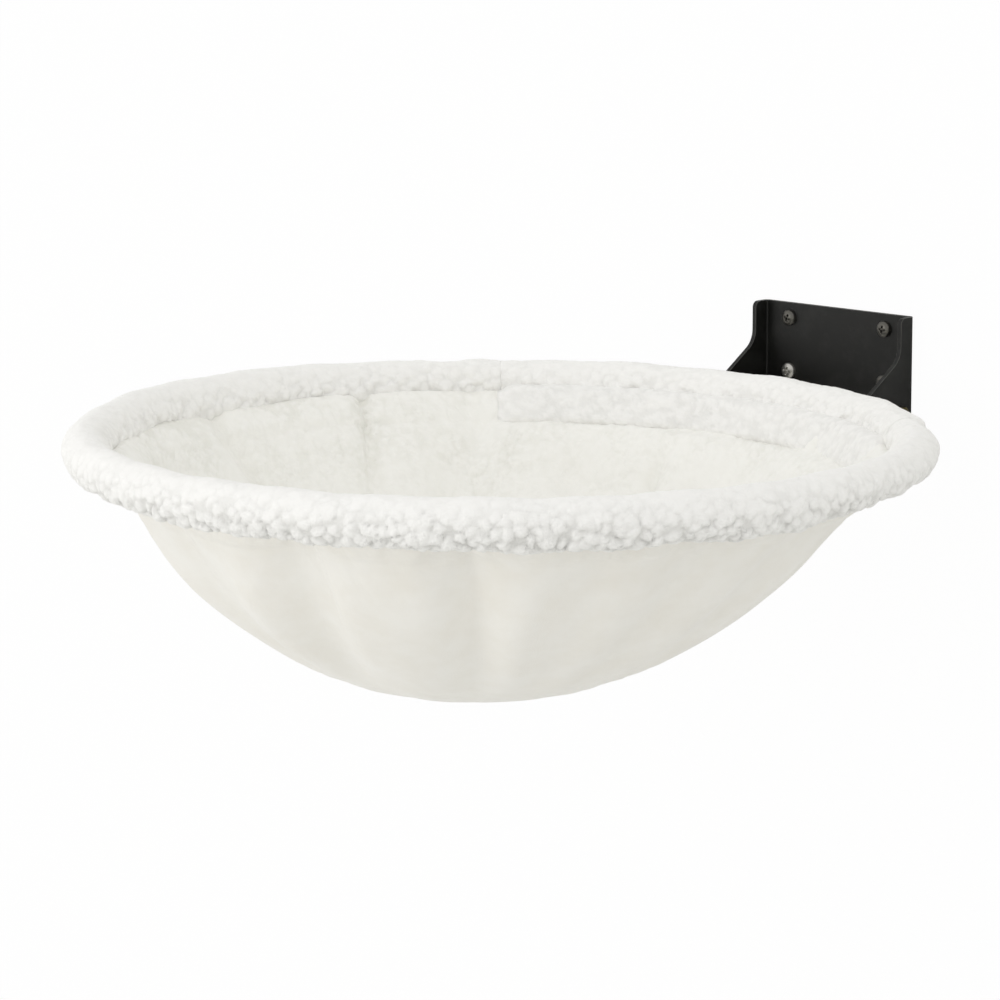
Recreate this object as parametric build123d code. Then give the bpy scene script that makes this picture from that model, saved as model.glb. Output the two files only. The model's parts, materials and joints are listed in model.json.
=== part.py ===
from build123d import *
import os
from math import acos, atan2, cos, degrees, pi, radians, sin, sqrt

# Wall-mounted cat hammock: a round fleece bowl hung from a steel hoop, and the hoop bolted to a
# bent steel bracket on the wall. Millimetres. +Y points into the wall, +Z up. The origin is on the
# wall, at the centre of the pattern of wall screws.

# General allowances
SOFT_GAP = 0.3                # between a fabric piece and its neighbour
CUT_OVERRUN = 2.0             # how far a cutting shape runs past the face it cuts

# Hoop
HOOP_RADIUS = 211.0           # centreline of the steel tube
HOOP_STANDOFF = 67.5          # wall to the centreline, where the hoop comes nearest
HOOP_DROP = 3.0               # hoop's plane below the middle row of wall screws
TUBE_DIAMETER = 16.0
TUBE_WALL = 1.5

# Joints between the two halves of the hoop
SPIGOT_LENGTH = 26.0
SPIGOT_CLEARANCE = 0.1        # on the radius
SOCKET_MARGIN = 2.0           # socket deeper than the spigot is long

# Wall bracket, bent from one sheet
SHEET_THICKNESS = 2.5
BRACKET_WIDTH = 105.0
BRACKET_HEIGHT = 77.0
BEND_RADIUS = 3.5             # outside of the two bends
STRIP_DEPTH = 12.4            # wall to the front edge of the wings' narrow upper strip
SLOPE_ANGLE = 32.6            # degrees, slope of the wings under the rim
SLOPE_CLEARANCE = 2.6         # fleece rim to the slope
NOSE_LEAD = 5.0               # from below the tube to the end of the slope, before rounding
FOOT_DEPTH = 30.0             # straight part of the wings' lower edge
STRIP_CORNER_RADIUS = 3.5
SLOPE_FILLET = 12.0
NOSE_RADIUS = 6.0
FOOT_FILLET = 10.0

# Wall screws, pan head, two columns and three rows
WALL_EDGE_X = 19.0            # bracket's sides in to the columns
WALL_EDGE_Z = 8.5             # bracket's top and bottom in to the outer rows
WALL_COLUMNS = 2
WALL_ROWS = 3
WALL_SCREW_DIAMETER = 4.5
WALL_SCREW_LENGTH = 40.0
WALL_TIP_LENGTH = 6.0
WALL_TIP_DIAMETER = 1.0
WALL_NECK_DIAMETER = 5.0      # inside the sheet
WALL_HEAD_DIAMETER = 8.8
WALL_HEAD_HEIGHT = 3.0
WALL_HOLE_DIAMETER = 5.6

# Arm plates, cut from sheet and welded under the hoop
ARM_THICKNESS = 3.0
ARM_END_RADIUS = 9.0          # round the bolt holes
SADDLE_WIDTH = 4.2            # hook of the plate round the tube
WELD_GAP = 0.2                # arm plate to tube
SADDLE_MOUTH_TILT = 40.0      # degrees, open side of the saddle off the horizontal

# Bolts through the wings and the arm plates
BOLT_DIAMETER = 6.0
BOLT_LENGTH = 16.0
BOLT_SIDES = 6
BOLT_ACROSS_FLATS = 10.0      # of the heads and the nuts
BOLT_HEAD_HEIGHT = 4.0
BOLT_HOLE_DIAMETER = 6.4
REAR_BOLT_REACH = 14.0        # wall to the rear bolt
REAR_BOLT_DROP = 12.0         # below the hoop's plane
FRONT_BOLT_SETBACK = 27.6     # tube's centre back to the front bolt
FRONT_BOLT_DROP = 15.0        # below the hoop's plane
NUT_HEIGHT = 6.0

# Fleece rim round the hoop
RIM_THICKNESS = 5.4
BORE_SIDES = 6                # of the space that the fleece leaves for the tube
CLOSURE_HALF_ANGLE = 42.6     # degrees each side of the wall's direction
SLIT_GAP = 0.5                # arm plate to the edges of its slit

# Fleece bowl, part of a sphere whose centre lies above the hoop. Its top flares out to the rim.
BOWL_TUCK = 11.4              # tube's centre in to the sphere, in the hoop's plane
BOWL_DEPTH = 128.7            # hoop's plane to the lowest point
MOUTH_FLARE = 9.0             # how far the unfinished top edge stands out of the sphere
FLARE_END_ANGLE = 39.0        # degrees below level, at the sphere's centre, where the flare ends
SHELL_THICKNESS = 1.6
LINING_THICKNESS = 6.0
BOWL_FLAT_RADIUS = 12.0       # flat spot at the bottom
BOWL_TOP_HEIGHT = 2.0         # where the unfinished forms end above the hoop's plane
LEAN_FORWARD = 13.0           # how far the lowest point hangs away from the wall
LEAN_SIDE = 4.1               # and to the side, towards -X
SEAM_ANGLE = 25.0             # degrees below level, where the lining is sewn to the rim
SEAM_SLOPE = 20.0             # degrees, the lining's top face falling away from the seam

# Folds of the bowl. A crease is an inward fold, and the cloth bulges out between two of them.
CREASE_DEGREES = (6, 36, 66, 96, 124, 153, 190, 222, 252, 281, 309, 328, 345)
FOLD_DEPTH_SHARE = 0.04       # of the width between two creases
# For each level of the bowl: its place from top to bottom, how deep its folds are and how far it leans
LEVEL_SHARES = (0.0, 0.09, 0.19, 0.34, 0.54, 0.77, 1.0)
FOLD_SHARES = (0.0, 0.0, 0.45, 0.85, 0.95, 0.5, 0.0)
LEAN_SHARES = (0.0, 0.0, 0.31, 0.6, 0.77, 0.91, 1.0)

# Closure of the rim: a tongue inside the bowl, held by hook-and-loop tape
TONGUE_THICKNESS = 3.2
TONGUE_ROOT_ANGLE = 20.0      # degrees below level, lower side of the tongue's root
TONGUE_TOP_HEIGHT = 5.0       # hoop's plane down to the tongue's bend
TONGUE_END_HEIGHT = 18.5      # hoop's plane down to the tongue's edge
TAPE_THICKNESS = 0.8
LINING_WAVE = 1.4             # room for the lining's first folds under the tapes
TAPE_TOP_HEIGHT = 8.5         # hoop's plane down to the tapes' upper edge
TAPE_BOTTOM_HEIGHT = 17.5
TAPE_END_ANGLE = 2.5          # degrees that the tapes stop short of the closure's ends

# Derived sizes
TUBE_RADIUS = TUBE_DIAMETER / 2
RIM_INNER_RADIUS = TUBE_RADIUS + SOFT_GAP
RIM_RADIUS = RIM_INNER_RADIUS + RIM_THICKNESS
HOOP_REACH = HOOP_STANDOFF + HOOP_RADIUS
WALL_PITCH_X = (BRACKET_WIDTH - 2 * WALL_EDGE_X) / (WALL_COLUMNS - 1)
WALL_PITCH_Z = (BRACKET_HEIGHT - 2 * WALL_EDGE_Z) / (WALL_ROWS - 1)
BOWL_MOUTH_RADIUS = HOOP_RADIUS - BOWL_TUCK
BOWL_RADIUS = (BOWL_MOUTH_RADIUS**2 + BOWL_DEPTH**2) / (2 * BOWL_DEPTH)
BOWL_CENTRE_HEIGHT = BOWL_RADIUS - BOWL_DEPTH
LINING_FACE_RADIUS = BOWL_RADIUS - SHELL_THICKNESS - SOFT_GAP - LINING_THICKNESS
ARM_SADDLE_RADIUS = TUBE_RADIUS + WELD_GAP + SADDLE_WIDTH
ARM_OUTER_X = BRACKET_WIDTH / 2 - SHEET_THICKNESS
ARM_MIDDLE_X = ARM_OUTER_X - ARM_THICKNESS / 2
HOOP_SLANT = HOOP_RADIUS / sqrt(HOOP_RADIUS**2 - ARM_OUTER_X**2)
WING_TUBE_REACH = HOOP_REACH - HOOP_RADIUS / HOOP_SLANT
WING_REACH = WING_TUBE_REACH + NOSE_LEAD
ARM_TUBE_REACH = HOOP_REACH - sqrt(HOOP_RADIUS**2 - ARM_MIDDLE_X**2)
BOLT_PLACES = (
    (REAR_BOLT_REACH, HOOP_DROP + REAR_BOLT_DROP),
    (ARM_TUBE_REACH - FRONT_BOLT_SETBACK, HOOP_DROP + FRONT_BOLT_DROP),
)
FULL_TURN = 360
WALL_DIRECTION = 90           # degrees from +X round to the wall, seen from above
CLOSURE_START = WALL_DIRECTION - CLOSURE_HALF_ANGLE
CLOSURE_END = WALL_DIRECTION + CLOSURE_HALF_ANGLE
hoop_place = Pos(0, -HOOP_REACH, -HOOP_DROP)


# Shared helpers

def side_point(reach, height):
    """Point of a side view: its distance from the wall and its height above the origin."""
    return (-reach, height)


def hoop_arc(section, start, arc):
    """Turns a section of the rim about the hoop's axis, from one angle round by another.

    The section is drawn with x as the distance from the hoop's axis and y as the height above
    the hoop's plane.
    """
    turned = revolve(Plane.XZ * section, Axis.Z, arc, clean=False)
    return hoop_place * (Rot(0, 0, start) * turned)


def tube_section(radius):
    """Round section centred on the hoop's centreline."""
    return Pos(HOOP_RADIUS, 0) * Circle(radius)


def rim_section():
    """Section of the fleece rim: round outside, and drawn flat over the tube on six sides."""
    bore = RegularPolygon(RIM_INNER_RADIUS, BORE_SIDES, major_radius=False)
    return Pos(HOOP_RADIUS, 0) * (Circle(RIM_RADIUS) - bore)


def along_hoop(length):
    """Degrees of the hoop that a length of its tube takes."""
    return degrees(length / HOOP_RADIUS)


# Bracket and wall screws

def bent_section(back, corner_radius, half_width):
    """Plan of the bracket's U, from the wall out to the wings' tips, as one filled face."""
    front = -WING_REACH
    outline = FilletPolyline(
        (-half_width, front),
        (-half_width, -back),
        (half_width, -back),
        (half_width, front),
        radius=(0, corner_radius, corner_radius, 0),
        close=True,
    )
    return make_face(outline)


def slope_height(reach):
    """Height of the wings' slope at a distance from the wall; it clears the fleece rim."""
    slope = radians(SLOPE_ANGLE)
    below_tube = RIM_RADIUS * HOOP_SLANT + SLOPE_CLEARANCE
    return -HOOP_DROP - (below_tube + (reach - WING_TUBE_REACH) * sin(slope)) / cos(slope)


def wing_outline():
    """Side view of a wing: upper strip, slope under the rim, round nose and lower edge."""
    top = BRACKET_HEIGHT / 2
    outline = FilletPolyline(
        side_point(-CUT_OVERRUN, -top),
        side_point(-CUT_OVERRUN, top),
        side_point(STRIP_DEPTH, top),
        side_point(STRIP_DEPTH, slope_height(STRIP_DEPTH)),
        side_point(WING_REACH, slope_height(WING_REACH)),
        side_point(FOOT_DEPTH, -top),
        radius=(0, 0, STRIP_CORNER_RADIUS, SLOPE_FILLET, NOSE_RADIUS, FOOT_FILLET),
        close=True,
    )
    return make_face(outline)


def wall_screw_places():
    """Places of the wall screws on the wall's plane."""
    grid = GridLocations(WALL_PITCH_X, WALL_PITCH_Z, WALL_COLUMNS, WALL_ROWS)
    return [(Plane.XZ.location * place).position for place in grid]


def wall_bracket():
    """U-shaped bracket with its screw holes and the bolt holes of both wings."""
    half = BRACKET_WIDTH / 2
    inside = bent_section(SHEET_THICKNESS, BEND_RADIUS - SHEET_THICKNESS, half - SHEET_THICKNESS)
    section = bent_section(0, BEND_RADIUS, half) - inside
    bent = extrude(section, BRACKET_HEIGHT / 2, both=True)
    bracket = bent & extrude(Plane.YZ * wing_outline(), half + CUT_OVERRUN, both=True)
    for place in wall_screw_places():
        hole = Cylinder(WALL_HOLE_DIAMETER / 2, 2 * (SHEET_THICKNESS + CUT_OVERRUN))
        bracket -= Pos(place) * Rot(90, 0, 0) * hole
    for reach, drop in BOLT_PLACES:
        hole = Cylinder(BOLT_HOLE_DIAMETER / 2, BRACKET_WIDTH + 2 * CUT_OVERRUN)
        bracket -= Pos(0, -reach, -drop) * Rot(0, 90, 0) * hole
    return bracket


def wall_screws():
    """Six pan-head screws whose shanks stand out behind the bracket."""
    radius = WALL_SCREW_DIAMETER / 2
    neck_radius = WALL_NECK_DIAMETER / 2
    head_radius = WALL_HEAD_DIAMETER / 2
    outline = Polyline(
        (0, -WALL_SCREW_LENGTH),
        (WALL_TIP_DIAMETER / 2, -WALL_SCREW_LENGTH),
        (radius, WALL_TIP_LENGTH - WALL_SCREW_LENGTH),
        (radius, -SHEET_THICKNESS),
        (neck_radius, -SHEET_THICKNESS),
        (neck_radius, 0),
        (head_radius, 0),
        (head_radius, WALL_HEAD_HEIGHT),
        (0, WALL_HEAD_HEIGHT),
        close=True,
    )
    screw = revolve(Plane.XZ * make_face(outline), Axis.Z)
    seat = Pos(0, -SHEET_THICKNESS, 0)
    return [seat * Pos(place) * Rot(90, 0, 0) * screw for place in wall_screw_places()]


# Hoop, its joints and its arm plates

def hoop_rear_tube():
    """Half of the hoop nearer the wall, with a socket in each end.

    The tube is closed once its halves are together, so only its ends are hollow here.
    """
    half_turn = FULL_TURN / 2
    socket = tube_section(TUBE_RADIUS - TUBE_WALL)
    depth = along_hoop(SPIGOT_LENGTH + SOCKET_MARGIN)
    tube = hoop_arc(tube_section(TUBE_RADIUS), 0, half_turn)
    tube -= hoop_arc(socket, 0, depth)
    tube -= hoop_arc(socket, half_turn - depth, depth)
    return tube


def hoop_front_tube():
    """Half of the hoop away from the wall, narrowed to a spigot at each end."""
    half_turn = FULL_TURN / 2
    spigot = tube_section(TUBE_RADIUS - TUBE_WALL - SPIGOT_CLEARANCE)
    reach = along_hoop(SPIGOT_LENGTH)
    tube = hoop_arc(tube_section(TUBE_RADIUS), half_turn, half_turn)
    tube += hoop_arc(spigot, half_turn - reach, reach)
    tube += hoop_arc(spigot, 0, reach)
    return tube


def arm_outline(growth=0.0):
    """Side view of an arm plate without its holes, grown all round by an allowance."""
    rear, front = [side_point(reach, -drop) for reach, drop in BOLT_PLACES]
    tube = side_point(ARM_TUBE_REACH, -HOOP_DROP)
    end = Circle(ARM_END_RADIUS + growth)
    saddle = Circle(ARM_SADDLE_RADIUS + growth)
    bar = make_hull((Pos(rear) * end).edges() + (Pos(front) * end).edges())
    rise = make_hull((Pos(front) * end).edges() + (Pos(tube) * saddle).edges())
    return bar + rise


def saddle_opening():
    """Part of an arm plate's side view that is cut away so that the tube drops in."""
    tube = side_point(ARM_TUBE_REACH, -HOOP_DROP)
    wide = 2 * (ARM_SADDLE_RADIUS + CUT_OVERRUN)
    mouth = Pos(0, wide / 2) * Rectangle(wide, wide)
    notch = Circle(TUBE_RADIUS + WELD_GAP)
    # The tube crosses the plate at a slant, so its notch is longer than it is high.
    drift = ARM_THICKNESS / 2 * sqrt(HOOP_SLANT**2 - 1)
    slip = drift + TUBE_RADIUS * (HOOP_SLANT - 1)
    long_notch = make_hull((Pos(-slip, 0) * notch).edges() + (Pos(slip, 0) * notch).edges())
    return Pos(tube) * (Rot(0, 0, SADDLE_MOUTH_TILT) * mouth + long_notch)


def arm_plate(side):
    """Arm plate against the inner face of one wing; side is 1 for +X and -1 for -X."""
    outline = arm_outline() - saddle_opening()
    for reach, drop in BOLT_PLACES:
        outline -= Pos(side_point(reach, -drop)) * Circle(BOLT_HOLE_DIAMETER / 2)
    plate = extrude(Plane.YZ * outline, ARM_THICKNESS / 2, both=True)
    return Pos(side * ARM_MIDDLE_X, 0, 0) * plate


# Bolts and nuts of the arm plates

def bolt_seats(inward):
    """Places on the bolts' axes, a distance inside the wings' outer faces, facing outwards."""
    places = []
    for side in (1, -1):
        for reach, drop in BOLT_PLACES:
            along = side * (BRACKET_WIDTH / 2 - inward)
            places.append(Pos(along, -reach, -drop) * Rot(0, side * 90, 0))
    return places


def arm_bolts():
    """Four hexagon bolts, heads outside the wings."""
    head = RegularPolygon(BOLT_ACROSS_FLATS / 2, BOLT_SIDES, major_radius=False)
    bolt = extrude(head, BOLT_HEAD_HEIGHT) + extrude(Circle(BOLT_DIAMETER / 2), -BOLT_LENGTH)
    return [place * bolt for place in bolt_seats(0)]


def arm_nuts():
    """Four nuts against the arm plates' inner faces, their threads left plain."""
    section = RegularPolygon(BOLT_ACROSS_FLATS / 2, BOLT_SIDES, major_radius=False)
    nut = extrude(section - Circle(BOLT_DIAMETER / 2), -NUT_HEIGHT)
    return [place * nut for place in bolt_seats(SHEET_THICKNESS + ARM_THICKNESS)]


# Bowl

def bowl_angle(height, radius):
    """Angle below level, at the sphere's centre, of a height on a sphere of that radius."""
    return atan2(BOWL_CENTRE_HEIGHT - height, sqrt(radius**2 - (BOWL_CENTRE_HEIGHT - height) ** 2))


def bowl_reach(angle, radius):
    """Distance from the bowl's axis at an angle below level, on a sphere with the flare added."""
    top = bowl_angle(BOWL_TOP_HEIGHT, BOWL_RADIUS)
    end = radians(FLARE_END_ANGLE)
    share = max(0, (end - angle) / (end - top))
    return radius * cos(angle) + MOUTH_FLARE * share**2


def folded_ring(radius, fold_share, lean_share, height):
    """Level section of the bowl: an arc over each bulge, out to the radius, and one through each
    crease, inside it."""
    count = len(CREASE_DEGREES)
    creases = [radians(angle) for angle in CREASE_DEGREES]
    widths = [(creases[(i + 1) % count] - creases[i]) % (2 * pi) for i in range(count)]
    depths = [FOLD_DEPTH_SHARE * fold_share * radius * width for width in widths]
    middle = Vector(-LEAN_SIDE * lean_share, -LEAN_FORWARD * lean_share, height)

    def point(angle, distance):
        return middle + Vector(distance * cos(angle), distance * sin(angle), 0)

    arcs = []
    for i in range(count):
        after = (i + 1) % count
        start = point(creases[i] + widths[i] / 4, radius - depths[i])
        top = point(creases[i] + widths[i] / 2, radius)
        end = point(creases[i] + widths[i] * 3 / 4, radius - depths[i])
        crease = point(creases[after], radius - depths[i] - depths[after])
        rise = point(creases[after] + widths[after] / 4, radius - depths[after])
        arcs.append(Edge.make_three_point_arc(start, top, end))
        arcs.append(Edge.make_three_point_arc(end, crease, rise))
    return Face(Wire(arcs))


def bowl_form(inset):
    """Solid filled up to the bowl's folded face, or to a face that lies inside it by an inset."""
    radius = BOWL_RADIUS - inset
    top = bowl_angle(BOWL_TOP_HEIGHT, BOWL_RADIUS)
    bottom = acos(BOWL_FLAT_RADIUS / radius)
    sections = []
    for level_share, fold_share, lean_share in zip(LEVEL_SHARES, FOLD_SHARES, LEAN_SHARES):
        angle = top + (bottom - top) * level_share
        height = BOWL_CENTRE_HEIGHT - radius * sin(angle)
        sections.append(folded_ring(bowl_reach(angle, radius), fold_share, lean_share, height))
    return Solid.make_loft([section.outer_wire() for section in sections])


def rim_space():
    """Ring that the bowl's two layers leave free for the rim."""
    return revolve(Plane.XZ * tube_section(RIM_RADIUS + SOFT_GAP), Axis.Z)


def bowl_shell():
    """Smooth outer layer of the bowl, sewn to the rim's underside."""
    layer = Part() + bowl_form(0) - bowl_form(SHELL_THICKNESS)
    return hoop_place * (layer - rim_space())


def seam_cut():
    """Cutting ring whose lower face is the slope by which the lining runs into the seam."""
    reach = RIM_RADIUS + SOFT_GAP
    seam = (HOOP_RADIUS - reach * cos(radians(SEAM_ANGLE)), -reach * sin(radians(SEAM_ANGLE)))
    run = 2 * LINING_THICKNESS + CUT_OVERRUN
    fall = run * sin(radians(SEAM_SLOPE)) / cos(radians(SEAM_SLOPE))
    outline = Polyline(
        (seam[0] + reach, seam[1]),
        seam,
        (seam[0] - run, seam[1] - fall),
        (seam[0] - run, reach),
        (seam[0] + reach, reach),
        close=True,
    )
    return revolve(Plane.XZ * make_face(outline), Axis.Z)


def bowl_lining():
    """Thick fleece layer inside the shell."""
    outer = SHELL_THICKNESS + SOFT_GAP
    layer = Part() + bowl_form(outer) - bowl_form(outer + LINING_THICKNESS)
    return hoop_place * (layer - rim_space() - seam_cut())


# Rim

def rim_sleeve():
    """Fleece sleeve round the hoop, from one side of the closure round the front to the other."""
    gap = along_hoop(SOFT_GAP)
    start = CLOSURE_END + gap
    arc = FULL_TURN - 2 * CLOSURE_HALF_ANGLE - 2 * gap
    return hoop_arc(rim_section(), start, arc)


def band_point(radius, height):
    """Point of the rim's section on a face of the bowl, at a height."""
    return (bowl_reach(bowl_angle(height, radius), radius), height)


def band_section(face_radius, thickness, top_height, bottom_height):
    """Section of a band that lies along the bowl, between two heights below the hoop's plane."""
    middle_height = (top_height + bottom_height) / 2
    inner_radius = face_radius - thickness
    heights = (-top_height, -middle_height, -bottom_height)
    face = [band_point(face_radius, height) for height in heights]
    inner = [band_point(inner_radius, height) for height in heights]
    return make_face(Curve() + [
        ThreePointArc(*face),
        Line(face[2], inner[2]),
        ThreePointArc(*reversed(inner)),
        Line(inner[0], face[0]),
    ])


def tongue_section():
    """Section of the tongue: out of the rim, over the seam and down along the lining."""
    face_radius = tape_face_radius(2)
    inner_radius = face_radius - TONGUE_THICKNESS
    band = band_section(face_radius, TONGUE_THICKNESS, TONGUE_TOP_HEIGHT, TONGUE_END_HEIGHT)
    depth = RIM_RADIUS - TONGUE_THICKNESS / 2

    def rim_point(angle):
        return (HOOP_RADIUS - depth * cos(radians(angle)), -depth * sin(radians(angle)))

    root = Polyline(
        rim_point(0),
        rim_point(TONGUE_ROOT_ANGLE),
        band_point(face_radius, -TONGUE_TOP_HEIGHT),
        band_point(inner_radius, -TONGUE_TOP_HEIGHT),
        close=True,
    )
    return band + make_face(root)


def tape_face_radius(layer):
    """Outer face of a tape, counted from the lining inwards."""
    return LINING_FACE_RADIUS - LINING_WAVE - layer * (TAPE_THICKNESS + SOFT_GAP)


def closure_tape(layer):
    """One of the two tapes between the lining and the tongue."""
    section = band_section(
        tape_face_radius(layer), TAPE_THICKNESS, TAPE_TOP_HEIGHT, TAPE_BOTTOM_HEIGHT
    )
    arc = 2 * (CLOSURE_HALF_ANGLE - TAPE_END_ANGLE)
    return hoop_arc(section, CLOSURE_START + TAPE_END_ANGLE, arc)


def rim_closure():
    """Part of the rim that opens at the wall side, with its tongue and two slits for the arms."""
    section = rim_section() + tongue_section()
    closure = hoop_arc(section, CLOSURE_START, 2 * CLOSURE_HALF_ANGLE)
    slit = extrude(Plane.YZ * arm_outline(SLIT_GAP), ARM_THICKNESS / 2 + SLIT_GAP, both=True)
    for side in (1, -1):
        closure -= Pos(side * ARM_MIDDLE_X, 0, 0) * slit
    return closure


# Nodes of the assembly, each written to its own file

def nodes():
    """Every sub-part by name; a list holds identical pieces that share one node."""
    return {
        "wall_bracket": wall_bracket(),
        "wall_screws": wall_screws(),
        "hoop_rear_tube": hoop_rear_tube(),
        "hoop_front_tube": hoop_front_tube(),
        "arm_plate_right": arm_plate(1),
        "arm_plate_left": arm_plate(-1),
        "arm_bolts": arm_bolts(),
        "arm_nuts": arm_nuts(),
        "bowl_shell": bowl_shell(),
        "bowl_lining": bowl_lining(),
        "rim_sleeve": rim_sleeve(),
        "rim_closure": rim_closure(),
        "closure_loop_tape": closure_tape(0),
        "closure_hook_tape": closure_tape(1),
    }


def as_solids(shape):
    """The separate solids of a node, as one compound."""
    pieces = shape if isinstance(shape, list) else [shape]
    return Compound(children=[solid for piece in pieces for solid in piece.solids()])


os.makedirs("parts", exist_ok=True)
for name, shape in nodes().items():
    export_step(as_solids(shape), f"parts/{name}.step")
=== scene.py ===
"""Wall-mounted cat hammock: fleece bowl and rim on a steel hoop, bolted to a bent steel bracket.

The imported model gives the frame. +Y points into the wall, +Z up, and all lengths are in metres
once they leave the dataclass fields, which hold millimetres.
"""

from __future__ import annotations

import json
import logging
import math
from contextlib import contextmanager
from dataclasses import dataclass, field
from enum import Enum
from typing import Any, Iterator, Sequence

import bmesh
import bpy
import numpy as np
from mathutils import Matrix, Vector

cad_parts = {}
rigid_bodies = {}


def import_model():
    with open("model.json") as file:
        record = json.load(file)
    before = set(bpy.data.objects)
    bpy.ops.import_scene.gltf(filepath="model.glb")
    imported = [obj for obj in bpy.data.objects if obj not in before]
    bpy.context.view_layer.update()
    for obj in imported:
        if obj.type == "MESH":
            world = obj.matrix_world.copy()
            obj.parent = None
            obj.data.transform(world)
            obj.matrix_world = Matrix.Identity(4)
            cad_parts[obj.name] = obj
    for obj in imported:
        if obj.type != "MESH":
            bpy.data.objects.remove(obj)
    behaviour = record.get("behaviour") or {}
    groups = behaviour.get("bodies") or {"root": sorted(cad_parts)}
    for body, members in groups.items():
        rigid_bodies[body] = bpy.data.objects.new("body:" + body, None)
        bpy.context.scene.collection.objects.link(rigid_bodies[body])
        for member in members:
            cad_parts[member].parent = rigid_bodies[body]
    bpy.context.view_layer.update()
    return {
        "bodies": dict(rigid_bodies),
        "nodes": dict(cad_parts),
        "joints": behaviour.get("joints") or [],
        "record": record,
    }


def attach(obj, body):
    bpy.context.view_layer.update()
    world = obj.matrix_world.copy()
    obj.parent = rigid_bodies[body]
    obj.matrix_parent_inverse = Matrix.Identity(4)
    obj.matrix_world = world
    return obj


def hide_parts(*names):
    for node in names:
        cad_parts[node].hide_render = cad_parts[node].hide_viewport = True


LOG = logging.getLogger("cat_hammock")
MM = 0.001


# ---------------------------------------------------------------- small helpers

def linear(hex_colour: str) -> tuple[float, float, float, float]:
    """Turns an sRGB hex colour into linear RGBA.

    Args:
        hex_colour: Colour as "#rrggbb".

    Returns:
        The colour as Blender's sockets hold it.
    """
    values = [int(hex_colour[i:i + 2], 16) / 255 for i in (1, 3, 5)]
    bent = [v / 12.92 if v <= 0.04045 else ((v + 0.055) / 1.055) ** 2.4 for v in values]
    return (*bent, 1.0)


def add_node(tree: bpy.types.NodeTree, kind: str, inputs: dict[Any, Any] | None = None,
             **settings: Any) -> bpy.types.Node:
    """Adds a node with its settings, its values and its links.

    Args:
        tree: Material or geometry tree that gets the node.
        kind: Blender's type name of the node.
        inputs: For each input, by name or number, a value or the output socket to link.
        **settings: Attributes of the node.

    Returns:
        The new node.
    """
    made = tree.nodes.new(kind)
    for name, value in settings.items():
        setattr(made, name, value)
    for key, value in (inputs or {}).items():
        if isinstance(value, bpy.types.NodeSocket):
            tree.links.new(value, made.inputs[key])
        else:
            made.inputs[key].default_value = value
    return made


def add_math(tree: bpy.types.NodeTree, operation: str, *values: Any,
             clamp: bool = False) -> bpy.types.NodeSocket:
    """Adds a sum.

    Args:
        tree: Tree that gets the node.
        operation: Blender's name of the sum.
        *values: Numbers or sockets to reckon with.
        clamp: Whether the result stays between 0 and 1.

    Returns:
        The result.
    """
    return add_node(tree, "ShaderNodeMath", dict(enumerate(values)), operation=operation,
                    use_clamp=clamp).outputs[0]


def mesh_object(name: str, points: np.ndarray, faces: Sequence[Sequence[int]],
                smooth: bool = True) -> bpy.types.Object:
    """Makes a mesh object at the origin from points in metres.

    Args:
        name: Name of the object and its mesh.
        points: Array of shape (n, 3).
        faces: Corner numbers of each face.
        smooth: Whether its faces are shaded smooth.

    Returns:
        The new object, linked to the scene.
    """
    mesh = bpy.data.meshes.new(name)
    mesh.from_pydata(points.tolist(), [], [tuple(face) for face in faces])
    mesh.update()
    mesh.shade_smooth() if smooth else mesh.shade_flat()
    made = bpy.data.objects.new(name, mesh)
    bpy.context.scene.collection.objects.link(made)
    return made


def grid_faces(rows: int, columns: int, wrap: bool = False, first: int = 0,
               flip: bool = False) -> list[tuple[int, int, int, int]]:
    """Quads of a grid of points that is numbered row by row.

    Args:
        rows: Number of rows of points.
        columns: Number of points in a row.
        wrap: Whether the last column joins the first.
        first: Number of the grid's first point.
        flip: Whether the faces point the other way.

    Returns:
        The quads.
    """
    quads = []
    for i in range(rows - 1):
        for j in range(columns if wrap else columns - 1):
            k = (j + 1) % columns
            quad = (i * columns + j, i * columns + k, (i + 1) * columns + k, (i + 1) * columns + j)
            quad = tuple(first + corner for corner in quad)
            quads.append(quad[::-1] if flip else quad)
    return quads


def tube_faces(rows: int, columns: int) -> list[tuple[int, ...]]:
    """Faces of a tube whose points are numbered ring by ring, with a cap at each end."""
    return [*grid_faces(rows, columns, wrap=True), tuple(range(columns))[::-1],
            tuple(range((rows - 1) * columns, rows * columns))]


def finer(grid: np.ndarray, factor: int, axis: int, wrap: bool = False) -> np.ndarray:
    """Adds points between those of a grid, on a smooth curve through them.

    Args:
        grid: Points, with two grid axes and one for x, y and z.
        factor: Number of steps that each step becomes.
        axis: Grid axis to refine.
        wrap: Whether that axis closes on itself.

    Returns:
        The refined grid.
    """
    rows = np.moveaxis(grid, axis, 0)
    count = len(rows)
    if wrap:
        before, after, later = np.roll(rows, 1, 0), np.roll(rows, -1, 0), np.roll(rows, -2, 0)
        here = rows
    else:
        before = np.concatenate([2 * rows[:1] - rows[1:2], rows[:-2]])
        later = np.concatenate([rows[2:], 2 * rows[-1:] - rows[-2:-1]])
        here, after = rows[:-1], rows[1:]
    steps = []
    for k in range(factor):
        t = k / factor
        steps.append(0.5 * (2 * here + (after - before) * t
                            + (2 * before - 5 * here + 4 * after - later) * t**2
                            + (3 * here - before - 3 * after + later) * t**3))
    made = np.stack(steps, 1).reshape(len(here) * factor, *rows.shape[1:])
    if not wrap:
        made = np.concatenate([made, rows[count - 1:]])
    return np.moveaxis(made, 0, axis)


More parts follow.
